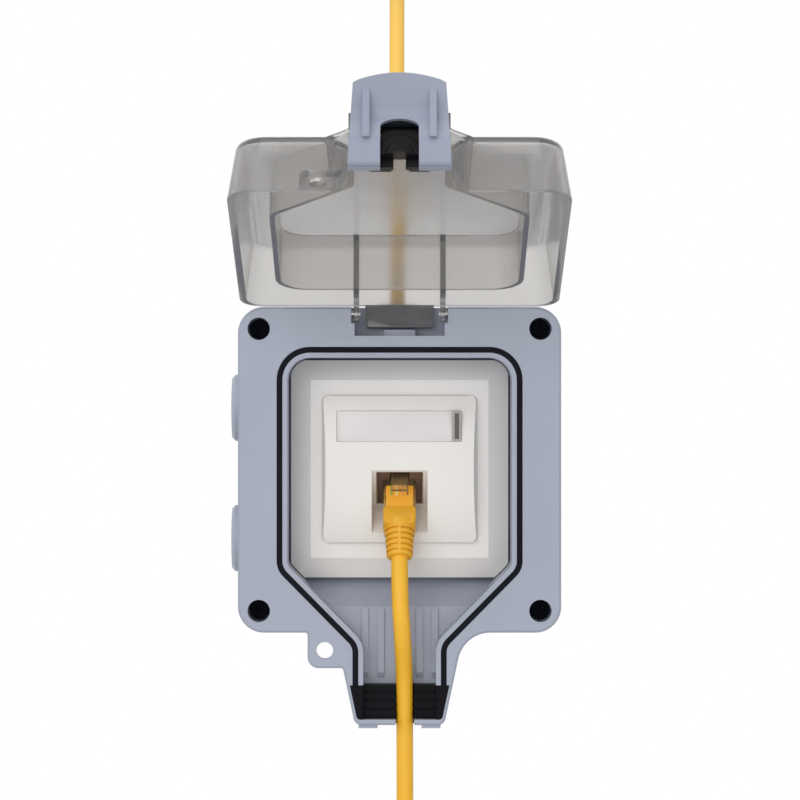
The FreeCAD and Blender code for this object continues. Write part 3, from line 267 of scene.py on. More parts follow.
# Clear moulded plastic: it bends and tints what is behind it, its shadow is only a tint, and where it is
# dense its edges go dark, because the eye looks through more of it there.
def clear(name, look):
    material, tree, output, place = startMaterial(name)
    drift = addNode(tree, "ShaderNodeTexNoise", Vector=place, Scale=perMetre(look["drift"]), Detail=3.0)
    spread = addNode(tree, "ShaderNodeMapRange", Value=drift.outputs["Fac"], From_Min=noiseLow,
                     From_Max=noiseHigh)
    tint = addNode(tree, "ShaderNodeMix", set_data_type="RGBA", in_0=spread.outputs["Result"],
                   in_6=linear(look["dark"]), in_7=linear(look["light"]))
    marks = addNode(tree, "ShaderNodeTexNoise", Vector=place, Scale=perMetre(look["marks"]), Detail=4.0)
    rough = addNode(tree, "ShaderNodeMapRange", Value=marks.outputs["Fac"], From_Min=noiseLow,
                    From_Max=noiseHigh, To_Min=look["rough"][0], To_Max=look["rough"][1])
    body = addNode(tree, "ShaderNodeBsdfPrincipled", Base_Color=tint.outputs[2],
                   Roughness=rough.outputs["Result"], IOR=look["ior"], Transmission_Weight=look["through"],
                   Coat_Weight=look["gloss"], Coat_Roughness=look["coatRough"])
    shade = addNode(tree, "ShaderNodeBsdfTransparent", Color=linear(look["shade"]))
    rays = addNode(tree, "ShaderNodeLightPath")
    whole = addNode(tree, "ShaderNodeMixShader", Fac=rays.outputs["Is Shadow Ray"], in_1=body.outputs["BSDF"],
                    in_2=shade.outputs["BSDF"])
    tree.links.new(whole.outputs["Shader"], output.inputs["Surface"])
    if "dense" in look:
        smoke = addNode(tree, "ShaderNodeVolumeAbsorption", Color=linear(look["smoke"]),
                        Density=look["dense"])
        tree.links.new(smoke.outputs["Volume"], output.inputs["Volume"])
    return material


# Gives a structure node its material and shades it smooth up to the angle.
def dress(nodeName, material, angle=30):
    piece = nodes[nodeName]
    piece.data.materials.clear()
    piece.data.materials.append(material)
    only(piece)
    bpy.ops.object.shade_smooth_by_angle(angle=math.radians(angle))
    return piece


# Moulded plastic's grain is about a tenth of the sizes below and too fine to show, so it is drawn coarser.

# Moulded ABS of the front frame and the back box: pale blue-grey, matt from a spark-eroded mould.
frontPlastic = plastic("frontMouldedAbs", {
    "dark": "#999fae", "light": "#a0a6b5", "drift": 55.6, "marks": 25.0, "rough": (0.4, 0.52),
    "grain": 0.71, "bump": 0.3})
backPlastic = plastic("backMouldedAbs", {
    "dark": "#959baa", "light": "#9ca2b1", "drift": 55.6, "marks": 25.0, "rough": (0.45, 0.58),
    "grain": 0.71, "bump": 0.3})
# Moulded ABS of the latch: a shade deeper, and polished by thumbs, so its bends catch the light.
latchPlastic = plastic("latchMouldedAbs", {
    "dark": "#8b91a2", "light": "#9298a9", "drift": 40.0, "marks": 16.7, "rough": (0.28, 0.4),
    "grain": 0.83, "bump": 0.2})
# Moulded polyethylene of the blanking plugs: lighter and waxy.
blankPlastic = plastic("blankMouldedPolyethylene", {
    "dark": "#a4aab7", "light": "#abb1be", "drift": 40.0, "marks": 16.7, "rough": (0.42, 0.5),
    "grain": 0.83, "bump": 0.25})

# Moulded EPDM rubber: almost black. The lid's seal and the bush are dull, the outlet's block and the grommet
# have a soft sheen. Rubber scatters its reflection, so its specular level is low.
sealRubber = plastic("sealMouldedEpdm", {
    "dark": "#101117", "light": "#16171e", "drift": 16.7, "marks": 11.1, "rough": (0.5, 0.62),
    "grain": 0.67, "bump": 0.4, "extra": {"Specular IOR Level": 0.06}})
outletRubber = plastic("outletMouldedEpdm", {
    "dark": "#08080d", "light": "#0d0d13", "drift": 16.7, "marks": 11.1, "rough": (0.3, 0.42),
    "grain": 0.67, "bump": 0.3, "extra": {"Specular IOR Level": 0.07}})
grommetRubber = plastic("grommetMouldedEpdm", {
    "dark": "#0a0a0f", "light": "#101015", "drift": 16.7, "marks": 11.1, "rough": (0.3, 0.4), "grain": 0.67,
    "bump": 0.2, "extra": {"Specular IOR Level": 0.14}})
bushRubber = plastic("bushMouldedEpdm", {
    "dark": "#26272b", "light": "#2d2e33", "drift": 16.7, "marks": 11.1, "rough": (0.55, 0.7),
    "grain": 0.67, "bump": 0.5})

# Moulded ABS of the insert: warm white with a satin gloss, the plate a little glossier than the frame.
coverPlastic = plastic("coverMouldedAbs", {
    "dark": "#e6e3df", "light": "#eae7e3", "drift": 45.5, "marks": 20.0, "rough": (0.34, 0.38),
    "grain": 0.91, "bump": 0.1})
platePlastic = plastic("plateMouldedAbs", {
    "dark": "#e5e2dd", "light": "#e8e5e0", "drift": 45.5, "marks": 20.0, "rough": (0.3, 0.34),
    "grain": 0.91, "bump": 0.1})
gripPlastic = plastic("gripMouldedAbs", {
    "dark": "#a19c98", "light": "#aaa5a1", "drift": 5.0, "marks": 5.0, "rough": (0.3, 0.4), "grain": 0.67,
    "bump": 0.1})
# Painted shade: the grip's slot is coloured dark brown for the shade inside it, and it is dull.
slotShade = plastic("slotPaintedShadeAbs", {
    "dark": "#58514d", "light": "#645d59", "drift": 5.0, "marks": 5.0, "rough": (0.5, 0.6), "grain": 0.67,
    "bump": 0.2})
# Uncoated paper of the label card: white and dull, with its fibres drawn 0.4 mm wide so that they show.
cardPaper = plastic("labelUncoatedPaper", {
    "dark": "#f0eeec", "light": "#f6f4f2", "drift": 3.33, "marks": 5.0, "rough": (0.7, 0.85), "grain": 0.4,
    "bump": 0.4})

# Extruded PVC of the patch cord and the supply cable: yellow-orange with a satin line of light along it.
cordJacket = plastic("cordExtrudedPvc", {
    "dark": "#ebb021", "light": "#f1b729", "drift": 16.7, "marks": 11.1, "rough": (0.38, 0.5), "grain": 1.1,
    "bump": 0.2})
cableJacket = plastic("cableExtrudedPvc", {
    "dark": "#fbc856", "light": "#ffd060", "drift": 16.7, "marks": 11.1, "rough": (0.42, 0.55),
    "grain": 1.1, "bump": 0.2})
# Moulded PVC of the boots: deeper orange than the cord, and a little glossier.
bootPlastic = plastic("bootMouldedPvc", {
    "dark": "#e2a41a", "light": "#e8ab22", "drift": 14.3, "marks": 11.1, "rough": (0.36, 0.46),
    "grain": 0.91, "bump": 0.25})
# Polyethylene on the four wires that show through the plug, in the usual colours.
wireColours = [("wirePolyethyleneGreen", "#6f9a3a", "#7da746"),
               ("wirePolyethyleneWhite", "#e8dcd0", "#f0e6da"),
               ("wirePolyethylenePink", "#d9a07c", "#e2ad8a"),
               ("wirePolyethyleneBrown", "#8a5a36", "#966542")]
wirePlastics = [plastic(title, {"dark": dark, "light": light, "drift": 5.0, "marks": 5.0, "rough": (0.4, 0.5),
                                "grain": 0.67, "bump": 0.1}) for title, dark, light in wireColours]
# Moulded PBT of the jack: dark, and coloured brown as painted light for the warm light that the plug throws
# into it.
jackPlastic = plastic("jackMouldedPbt", {
    "dark": "#5f493a", "light": "#715a49", "drift": 16.7, "marks": 11.1, "rough": (0.35, 0.45),
    "grain": 0.83, "bump": 0.25})
# Moulded nylon of the terminal cap: off-white and slightly dull.
capPlastic = plastic("capMouldedNylon", {
    "dark": "#cdccc8", "light": "#d6d5d1", "drift": 25.0, "marks": 14.3, "rough": (0.4, 0.5), "grain": 0.83,
    "bump": 0.2})
# Woven nylon of the cord tie: black and dull, its 0.4 mm threads drawn at their size.
tieFabric = plastic("tieWovenNylon", {
    "dark": "#111114", "light": "#1c1c20", "drift": 2.0, "marks": 2.5, "rough": (0.8, 0.95), "grain": 0.385,
    "bump": 0.9})
# Extruded PVC of the conduit: plain grey, smooth and a little dull.
conduitPlastic = plastic("conduitExtrudedPvc", {
    "dark": "#a9abaf", "light": "#b2b4b8", "drift": 33.3, "marks": 16.7, "rough": (0.4, 0.5), "grain": 1.1,
    "bump": 0.2})

# Metals. Zinc-plated steel is cool grey and half dull, the bridge's streaks run along its height.
bridgeSteel = metal("bridgeZincPlatedSteel", {
    "dark": "#a2a4a6", "light": "#b4b5b6", "stretch": (1, 1, 12), "streaks": 11.1, "rough": (0.28, 0.42)})
screwSteel = metal("screwZincPlatedSteel", {
    "dark": "#77797d", "light": "#888a8e", "stretch": (1, 1, 1), "streaks": 4.55, "rough": (0.3, 0.42)})
# Steel of the corner screws and the latch pin, coloured near black as painted shade of the deep holes they
# sit in, so it disappears in its dark well.
paintedShadeSteel = metal("paintedShadeSteel", {
    "dark": "#0b0c10", "light": "#15161b", "stretch": (1, 1, 1), "streaks": 4.55, "rough": (0.5, 0.65)})
# Drawn steel of the hinge pins: bright, with fine lines along the pin.
pinSteel = metal("pinDrawnSteel", {
    "dark": "#a8a9ab", "light": "#b6b7b9", "stretch": (14, 1, 1), "streaks": 5.0, "rough": (0.18, 0.3)})
# Tinned brass of the jack's shell: warm grey and soft in its reflections.
shieldMetal = metal("shieldTinnedBrass", {
    "dark": "#b5a58c", "light": "#c2b299", "stretch": (1, 6, 1), "streaks": 6.25, "rough": (0.24, 0.36)})
# Gold plate of the contacts: yellow and bright.
contactGold = metal("contactGoldPlate", {
    "dark": "#c79a45", "light": "#d6ab56", "stretch": (1, 1, 8), "streaks": 3.33, "rough": (0.16, 0.26)})

# Smoked polycarbonate of the lid: it blurs what lies far behind it, its skin is glossy, its edges are dark.
smokedClear = clear("lidSmokedPolycarbonate", {
    "dark": "#f0eeec", "light": "#f5f3f1", "shade": "#dddbd9", "drift": 83.3, "marks": 33.3,
    "rough": (0.18, 0.25), "ior": 1.36, "through": 0.91, "gloss": 0.5, "coatRough": 0.04, "dense": 120.0,
    "smoke": "#1c1610"})
# The flap over the hinge is of the same, seen against the dark gap behind it; its tint is darker, painted
# shade of that gap.
smokedFlap = clear("flapSmokedPaintedShadePolycarbonate", {
    "dark": "#7d7c80", "light": "#858488", "shade": "#a8a6a4", "drift": 50.0, "marks": 33.3,
    "rough": (0.14, 0.2), "ior": 1.4, "through": 0.5, "gloss": 0.4, "coatRough": 0.04})
# Clear polycarbonate of the label window: a faint gloss over the white card.
windowClear = clear("windowPolycarbonate", {
    "dark": "#f3f1f0", "light": "#f8f6f5", "shade": "#fdfdfc", "drift": 83.3, "marks": 16.7,
    "rough": (0.06, 0.14), "ior": 1.1, "through": 0.35, "gloss": 0.3, "coatRough": 0.04})
# Clear polycarbonate of the plugs: the one in the jack is tinted amber as painted light, the orange glow of
# the jacket in it; the far one isn't.
plugClear = clear("plugPolycarbonate", {
    "dark": "#f1dfb2", "light": "#f7e7bf", "shade": "#f6f4ee", "drift": 25.0, "marks": 12.5,
    "rough": (0.03, 0.08), "ior": 1.15, "through": 0.94, "gloss": 0.5, "coatRough": 0.04})
farPlugClear = clear("farPlugPolycarbonate", {
    "dark": "#eceff0", "light": "#f3f6f7", "shade": "#f6f7f7", "drift": 25.0, "marks": 12.5,
    "rough": (0.03, 0.08), "ior": 1.2, "through": 0.92, "gloss": 0.5, "coatRough": 0.04})
print("materials ready")


# A bevelled curve whose control points are the cord's route in millimetres.
def cordCurve(name, points, diameter, material):
    bpy.ops.object.select_all(action="DESELECT")
    bpy.ops.curve.primitive_nurbs_path_add()
    piece = bpy.context.object
    piece.name = name
    curve = piece.data
    curve.splines.clear()
    spline = curve.splines.new("NURBS")
    spline.points.add(len(points) - 1)
    for point, place in zip(spline.points, points):
        point.co = (*mm(*place), 1.0)
    spline.order_u = 3
    spline.use_endpoint_u = True
    spline.resolution_u = 8
    curve.dimensions = "3D"
    curve.bevel_depth = diameter / 2000
    curve.bevel_resolution = 8
    curve.use_fill_caps = True
    curve.materials.append(material)
    return piece


# The patch cord leaves the boot, bows out of the recess, lies in the outlet and ends in a coil below.
patchCord = {
    "diameter": 6.2, "x": 1.95, "depth": 44.6, "end": 26.0, "bow": 0.12,
    "lead": [(0.0, -49.73, -32.22), (0.0, -55.65, -44.91)],
    "chute": [(1.0, -54.8, -60.0), (1.7, -47.2, -73.0), (1.85, -44.8, -86.0), (1.95, -44.6, -109.0),
              (1.95, -44.6, -131.0), (1.95, -44.6, -149.0), (2.45, -44.6, -167.0), (1.75, -44.6, -185.0)],
    "coil": {"radius": 34.0, "z": -195.0, "turns": 1.5, "step": 30.0, "spacing": 6.5,
             "cross": (195.0, 345.0)}}


def patchPoints(setup):
    points = setup["lead"] + setup["chute"]
    coil = setup["coil"]
    reach = coil["radius"] / math.cos(math.radians(coil["step"] / 2))
    for i in range(round(360 * coil["turns"] / coil["step"])):
        angle = coil["step"] * (i + 0.5)
        share = min(max((angle - coil["cross"][0]) / (coil["cross"][1] - coil["cross"][0]), 0), 1)
        points.append((setup["x"] + coil["radius"] - reach * math.cos(math.radians(angle)),
                       -setup["depth"] - share * coil["spacing"],
                       coil["z"] - reach * math.sin(math.radians(angle))))
    side = setup["x"] + 2 * coil["radius"]
    points.append((side + setup["bow"], -setup["depth"] - coil["spacing"], coil["z"] + setup["end"] / 3))
    points.append((side, -setup["depth"] - coil["spacing"], coil["z"] + setup["end"]))
    return points


# The supply cable runs taut from the terminal cap up to the conduit.
supplyCable = {
    "diameter": 5.6,
    "points": [(-0.9, -17.0, 20.0), (-0.6, -17.0, 66.0), (-1.2, -17.0, 118.0), (-0.9, -17.0, 188.0)]}
patchLine = cordCurve("patchCordLine", patchPoints(patchCord), patchCord["diameter"], cordJacket)
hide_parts("patch_cord", "patch_coil")
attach(patchLine, "base")
supplyLine = cordCurve("supplyCableLine", supplyCable["points"], supplyCable["diameter"], cableJacket)
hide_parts("supply_cable")
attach(supplyLine, "base")
print("cords ready")

dressed = [(frontPlastic, "recess_tub frame_left frame_right frame_top neck_left neck_right"),
           (backPlastic, "back_box"), (latchPlastic, "latch"),
           (blankPlastic, "entry_plug_upper entry_plug_lower"), (sealRubber, "lid_seal frame_gasket"),
           (outletRubber, "outlet_seal"), (bushRubber, "top_entry_bush"), (grommetRubber, "lid_grommet"),
           (coverPlastic, "cover_frame"), (platePlastic, "centre_plate"), (cardPaper, "label_card"),
           (windowClear, "label_window"),
           (bridgeSteel, "mounting_bridge"), (screwSteel, "bridge_screws"),
           # The corner screws and the latch pin are near black as painted shade of their holes.
           (paintedShadeSteel, "frame_screws latch_pin"), (pinSteel, "hinge_pins"),
           # The jack body's brown is painted light from the plug.
           (shieldMetal, "jack_shield"), (jackPlastic, "jack_body"), (capPlastic, "terminal_cap"),
           (contactGold, "jack_contacts plug_contacts far_contacts"), (plugClear, "plug_body"),
           (farPlugClear, "far_plug"), (bootPlastic, "plug_boot far_boot"),
           (cordJacket, "patch_cord patch_coil"), (cableJacket, "supply_cable"), (tieFabric, "cord_tie"),
           (conduitPlastic, "conduit_end"), (smokedClear, "lid_shell")]
for material, nodeNames in dressed:
    for nodeName in nodeNames.split():
        dress(nodeName, material)
print("structure nodes dressed")

# Lid, modelled closed and then turned about its hinge to where it stands open.
lid = {
    "half": 58.5, "top": 63.6, "bottom": -60.5, "rim": 52.4, "high": 23.6, "low": 20.7, "sideDraft": 3.0,
    "endDraft": 2.0, "topCorner": 9.0, "freeCorner": 10.0, "neckTop": -57.5, "neckHalf": 23.1,
    "tipHalf": 16.07, "neckEnd": -92.4, "neckHeight": 10.5, "flare": 11.0, "tipCorner": 5.4, "edge": 3.0,
    "neckEdge": 1.8, "neckStep": 1.2, "wall": 2.0, "roomBelow": 4.0, "openAngle": 107.0,
    "edgeFrom": 16.0, "neckEdgeFrom": 5.0, "flareNear": 1.5, "hinge": (0.0, -47.4, 57.0)}
rib = {
    "half": 44.7, "top": 44.7, "side": -36.3, "neckHalf": 17.0, "neckStart": -64.5, "end": -78.6,
    "topCorner": 12.0, "sideCorner": 3.2, "neckCorner": 2.0, "thick": 1.8, "depths": (52.4, 73.0)}
lidParts = {
    "arms": (14.8, 16.8), "knuckle": 2.9, "flap": 12.6, "flapReach": 8.6, "lug": (-33.6, -17.5, -72.4),
    "lugThick": 3.0, "eye": (-27.3, -65.9, 3.05), "ears": (12.4, 15.2), "pivot": (62.4, -94.3),
    "earRadius": 1.9, "earEdge": 0.25, "earFlare": 2.0, "pinHole": 0.82, "hingeHole": 1.06, "boreReach": 18,
    "grommet": (51.4, 8.93), "knuckleEdge": 0.3, "webSink": (0.8, 1.0, 0.9), "lugCorner": 4.0,
    "lugEdge": 0.6, "neckRoom": (22, 14.5), "flapCorner": 1.5, "flapEdge": 0.5}


# Turns a piece that is modelled on the closed lid to where the lid stands open.
def opened(piece):
    return placed(piece, lid["openAngle"], lid["hinge"])


# Body of the closed lid, or with an inset the room inside its wall, from a little below the rim.
def lidForm(setup, inset, below):
    base, rim = setup["rim"] - below, setup["rim"]
    half, bottom = setup["half"] - inset, setup["bottom"] + inset
    high, low = rim + setup["high"] - inset, rim + setup["low"] - inset
    body = boxPiece("smokedLid", -half, half, base, high, bottom, setup["top"] - inset)
    pick(body, "FACE", lambda m, n: n.y < -aligned)
    bpy.ops.transform.resize(value=(1 - setup["sideDraft"] / half, 1, 1), center_override=(0, 0, 0))
    leave()
    pick(body, "VERT", lambda m, n: m.y < -rim - 1 and m.z < 0)
    bpy.ops.transform.translate(value=mm(0, high - low, setup["endDraft"]))
    leave()
    soften(body, lambda m, d: abs(d.y) > aligned and m.z > 0, setup["topCorner"] - inset, 8)
    soften(body, lambda m, d: abs(d.y) > aligned and m.z < 0, setup["freeCorner"] - inset, 8)
    soften(body, lambda m, d: m.y < -rim - setup["edgeFrom"], setup["edge"] - inset / 2, 4)
    neckHalf, end, top = setup["neckHalf"] - inset, setup["neckEnd"] + inset, setup["neckTop"] + inset
    neck = boxPiece("lidNeck", -neckHalf, neckHalf, base, high, end, top)
    pick(neck, "FACE", lambda m, n: n.z < -aligned)
    bpy.ops.transform.resize(value=((setup["tipHalf"] - inset) / neckHalf, 1, 1), center_override=(0, 0, 0))
    leave()
    start = low - setup["neckStep"]
    fall, run = start - rim - setup["neckHeight"] + inset, top - end
    pickAll(neck)
    bpy.ops.mesh.bisect(plane_co=mm(0, -start, top), plane_no=Vector((0, -run, -fall)).normalized(),
                        use_fill=True, clear_outer=True)
    leave()
    soften(neck, lambda m, d: abs(d.y) > aligned and m.z < end + 1, setup["tipCorner"] - inset, 6)
    soften(neck, lambda m, d: m.y < -rim - setup["neckEdgeFrom"] and abs(d.y) < crosswise and m.z < top - 1,
           setup["neckEdge"] - inset / 2, 3)
    combine(body, neck)
    near = setup["flareNear"]
    soften(body, lambda m, d: abs(d.y) > aligned and abs(abs(m.x) - neckHalf) < near
           and abs(m.z - bottom) < near, setup["flare"] + inset, 6)
    return body


# Outline of the rib, taken row by row down to the neck, then raised and given its thickness.
def ribForm(setup, depths):
    near, far = depths
    bpy.ops.object.select_all(action="DESELECT")
    bpy.ops.mesh.primitive_plane_add(size=1, location=mm(0, -near, (setup["top"] + setup["side"]) / 2),
                                     rotation=(math.radians(90), 0, 0))
    piece = bpy.context.object
    piece.name = "lidRib"
    bpy.ops.transform.resize(value=(2 * setup["half"] / 1000, 1, (setup["top"] - setup["side"]) / 1000))
    bpy.ops.object.transform_apply(location=True, rotation=True, scale=True)
    for low, half in ((setup["neckStart"], setup["neckHalf"] / setup["half"]), (setup["end"], 1.0)):
        floor = min(v.co.z for v in piece.data.vertices) * 1000
        pick(piece, "EDGE", lambda m, d: abs(d.x) > aligned and m.z < floor + nearby)
        bpy.ops.mesh.extrude_edges_move(TRANSFORM_OT_translate={"value": mm(0, 0, low - floor)})
        bpy.ops.transform.resize(value=(half, 1, 1), center_override=(0, 0, 0))
        leave()
    for place, size in (("top", "topCorner"), ("side", "sideCorner"), ("neckStart", "neckCorner")):
        pick(piece, "VERT", lambda m, n: abs(m.z - setup[place]) < nearby)
        bpy.ops.mesh.bevel(offset=setup[size] / 1000, affect="VERTICES", segments=6, profile=0.5)
        leave()
    pickAll(piece)
    bpy.ops.mesh.extrude_region_move(TRANSFORM_OT_translate={"value": mm(0, near - far, 0)})
    leave()
    pick(piece, "FACE", lambda m, n: abs(n.y) > aligned or (m.z < setup["end"] + nearby))
    bpy.ops.mesh.delete(type="FACE")
    leave()
    pickAll(piece)
    bpy.ops.mesh.normals_make_consistent(inside=False)
    leave()
    return finished(piece, "SOLIDIFY", thickness=setup["thick"] / 1000, offset=-1, use_even_offset=True)


lidPiece = combine(lidForm(lid, 0.0, 0.0), lidForm(lid, lid["wall"], lid["roomBelow"]), "DIFFERENCE")
print("lid wall ready", len(lidPiece.data.polygons))
ribPiece = ribForm(rib, rib["depths"])
combine(lidPiece, ribPiece)
print("lid rib ready", len(lidPiece.data.polygons))


# Hinge arms with their knuckles, the flap over the hinge, the padlock lug and the latch's ears.
def addLidParts(piece, setup, rimDepth):
    hingeDepth, hingeZ = -lid["hinge"][1], lid["hinge"][2]
    inner, outer = setup["arms"]
    depth, z = setup["pivot"]
    for side in (-1, 1):
        x0, x1 = sorted((side * inner, side * outer))
        sink, inward, outward = setup["webSink"]
        web = boxPiece("hingeWeb", x0, x1, rimDepth + 0.01, rimDepth + lid["high"] - sink,
                       rib["top"] - inward, lid["top"] - outward)
        link = boxPiece("hingeLink", x0, x1, hingeDepth, rimDepth + 1, hingeZ - setup["knuckle"],
                        hingeZ + setup["knuckle"])
        knuckle = rodPiece("hingeKnuckle", setup["knuckle"], "X", x0, x1, (hingeDepth, hingeZ))
        soften(knuckle, lambda m, d: abs(abs(m.x) - inner) < nearby or abs(abs(m.x) - outer) < nearby,
               setup["knuckleEdge"], 2)
        combine(link, knuckle)
        combine(web, link)
        combine(piece, web)
        x0, x1 = sorted((side * setup["ears"][0], side * setup["ears"][1]))
        ear = boxPiece("latchEar", x0, x1, depth - setup["earRadius"], depth + setup["earRadius"], z,
                       lid["neckEnd"] + 0.6)
        pick(ear, "FACE", lambda m, n: n.z > aligned)
        bpy.ops.transform.resize(value=(1, setup["earFlare"], 1), center_override=mm(0, -depth, z))
        leave()
        eye = rodPiece("latchEye", setup["earRadius"], "X", x0, x1, (depth, z))
        soften(eye, lambda m, d: abs(abs(m.x) - setup["ears"][0]) < nearby
               or abs(abs(m.x) - setup["ears"][1]) < nearby, setup["earEdge"], 2)
        combine(ear, eye)
        combine(piece, ear)
    left, right, low = setup["lug"]
    lug = boxPiece("padlockLug", left, right, rimDepth, rimDepth + setup["lugThick"], low,
                   lid["bottom"] + 1.0)
    soften(lug, lambda m, d: abs(d.y) > aligned and m.x < left + nearby and m.z < low + nearby,
           setup["lugCorner"], 6)
    soften(lug, lambda m, d: abs(d.y) < crosswise and m.y < beside - rimDepth - setup["lugThick"]
           and m.z < lid["bottom"] - beside and m.x < right - beside, setup["lugEdge"], 2)
    wide, narrow = setup["neckRoom"]
    room = boxPiece("neckRoom", -wide, wide, rimDepth - 1, rimDepth + setup["lugThick"] + 1,
                    lid["neckEnd"] + 2, lid["bottom"] + 3)
    pick(room, "FACE", lambda m, n: n.z < -aligned)
    bpy.ops.transform.resize(value=(narrow / wide, 1, 1), center_override=(0, 0, 0))
    leave()
    combine(lug, room, "DIFFERENCE")
    combine(piece, lug)
    x, z, radius = setup["eye"]
    combine(piece, rodPiece("eyeHole", radius, "Y", rimDepth - 2, rimDepth + 6, (x, z)), "DIFFERENCE")
    depth, z = setup["pivot"]
    reach = setup["boreReach"]
    combine(piece, rodPiece("pinHole", setup["pinHole"], "X", -reach, reach, (depth, z)), "DIFFERENCE")
    combine(piece, rodPiece("pinHole", setup["hingeHole"], "X", -reach, reach, (hingeDepth, hingeZ)),
            "DIFFERENCE")
    depth, radius = setup["grommet"]
    hole = rodPiece("grommetHole", radius, "Z", lid["neckEnd"] - 1, lid["neckEnd"] + 3, (0, depth), 48)
    combine(piece, hole, "DIFFERENCE")


addLidParts(lidPiece, lidParts, lid["rim"])
opened(lidPiece)
shown(lidPiece, smokedClear, "lid", "smoked_clear", "lid_shell")

flapPiece = boxPiece("hingeFlap", -lidParts["flap"], lidParts["flap"], lid["rim"] - lidParts["flapReach"],
                     lid["rim"], lid["top"] - lid["wall"], lid["top"])
soften(flapPiece, lambda m, d: abs(d.z) > aligned and m.y > 1 - lid["rim"], lidParts["flapCorner"], 4)
soften(flapPiece, lambda m, d: abs(d.x) > aligned and m.y > 1 - lid["rim"], lidParts["flapEdge"], 2)
opened(flapPiece)
# The flap's darker tint is painted shade of the gap behind it.
shown(flapPiece, smokedFlap, "lid", "smoked_clear")
print("lid ready", len(lidPiece.data.polygons), [round(v * 1000, 1) for v in lidPiece.bound_box[0]])

# Latch on the lid's neck: a bent plate with an arched end, two ribs, a slot and hooked legs.
latch = {
    "rows": [(77.4, -103.2), (64.9, -96.9), (55.4, -100.4), (46.9, -98.4)],
    "halves": [15.3, 16.1, 16.6, 17.0], "arch": 2.9, "columns": 16, "valley": 3.0, "ridge": 2.2,
    "toeRound": 1.7, "thick": 2.0, "edge": 0.55, "edgeAngle": 50.0, "endDrop": 0.3, "toeNear": 0.05,
    "slotHalf": 6.35, "slotTop": 63.5, "slotFlat": 0.45, "slotReach": (-110, -85), "ribX": 11.0,
    "ribWide": 2.3, "ribStart": (73.2, -101.1),
    "ribSink": (0.5, 1.0, 0.8), "footSink": 0.4, "hookTip": -93.5, "hookThick": 2.0, "hookGap": 0.02,
    "earX": (12.2, 15.4), "boreReach": 18, "knuckles": (8.4, 12.2), "knuckleRadius": 1.9,
    "pivot": (62.4, -94.3), "earRoom": 2.3, "pinHole": 0.86}


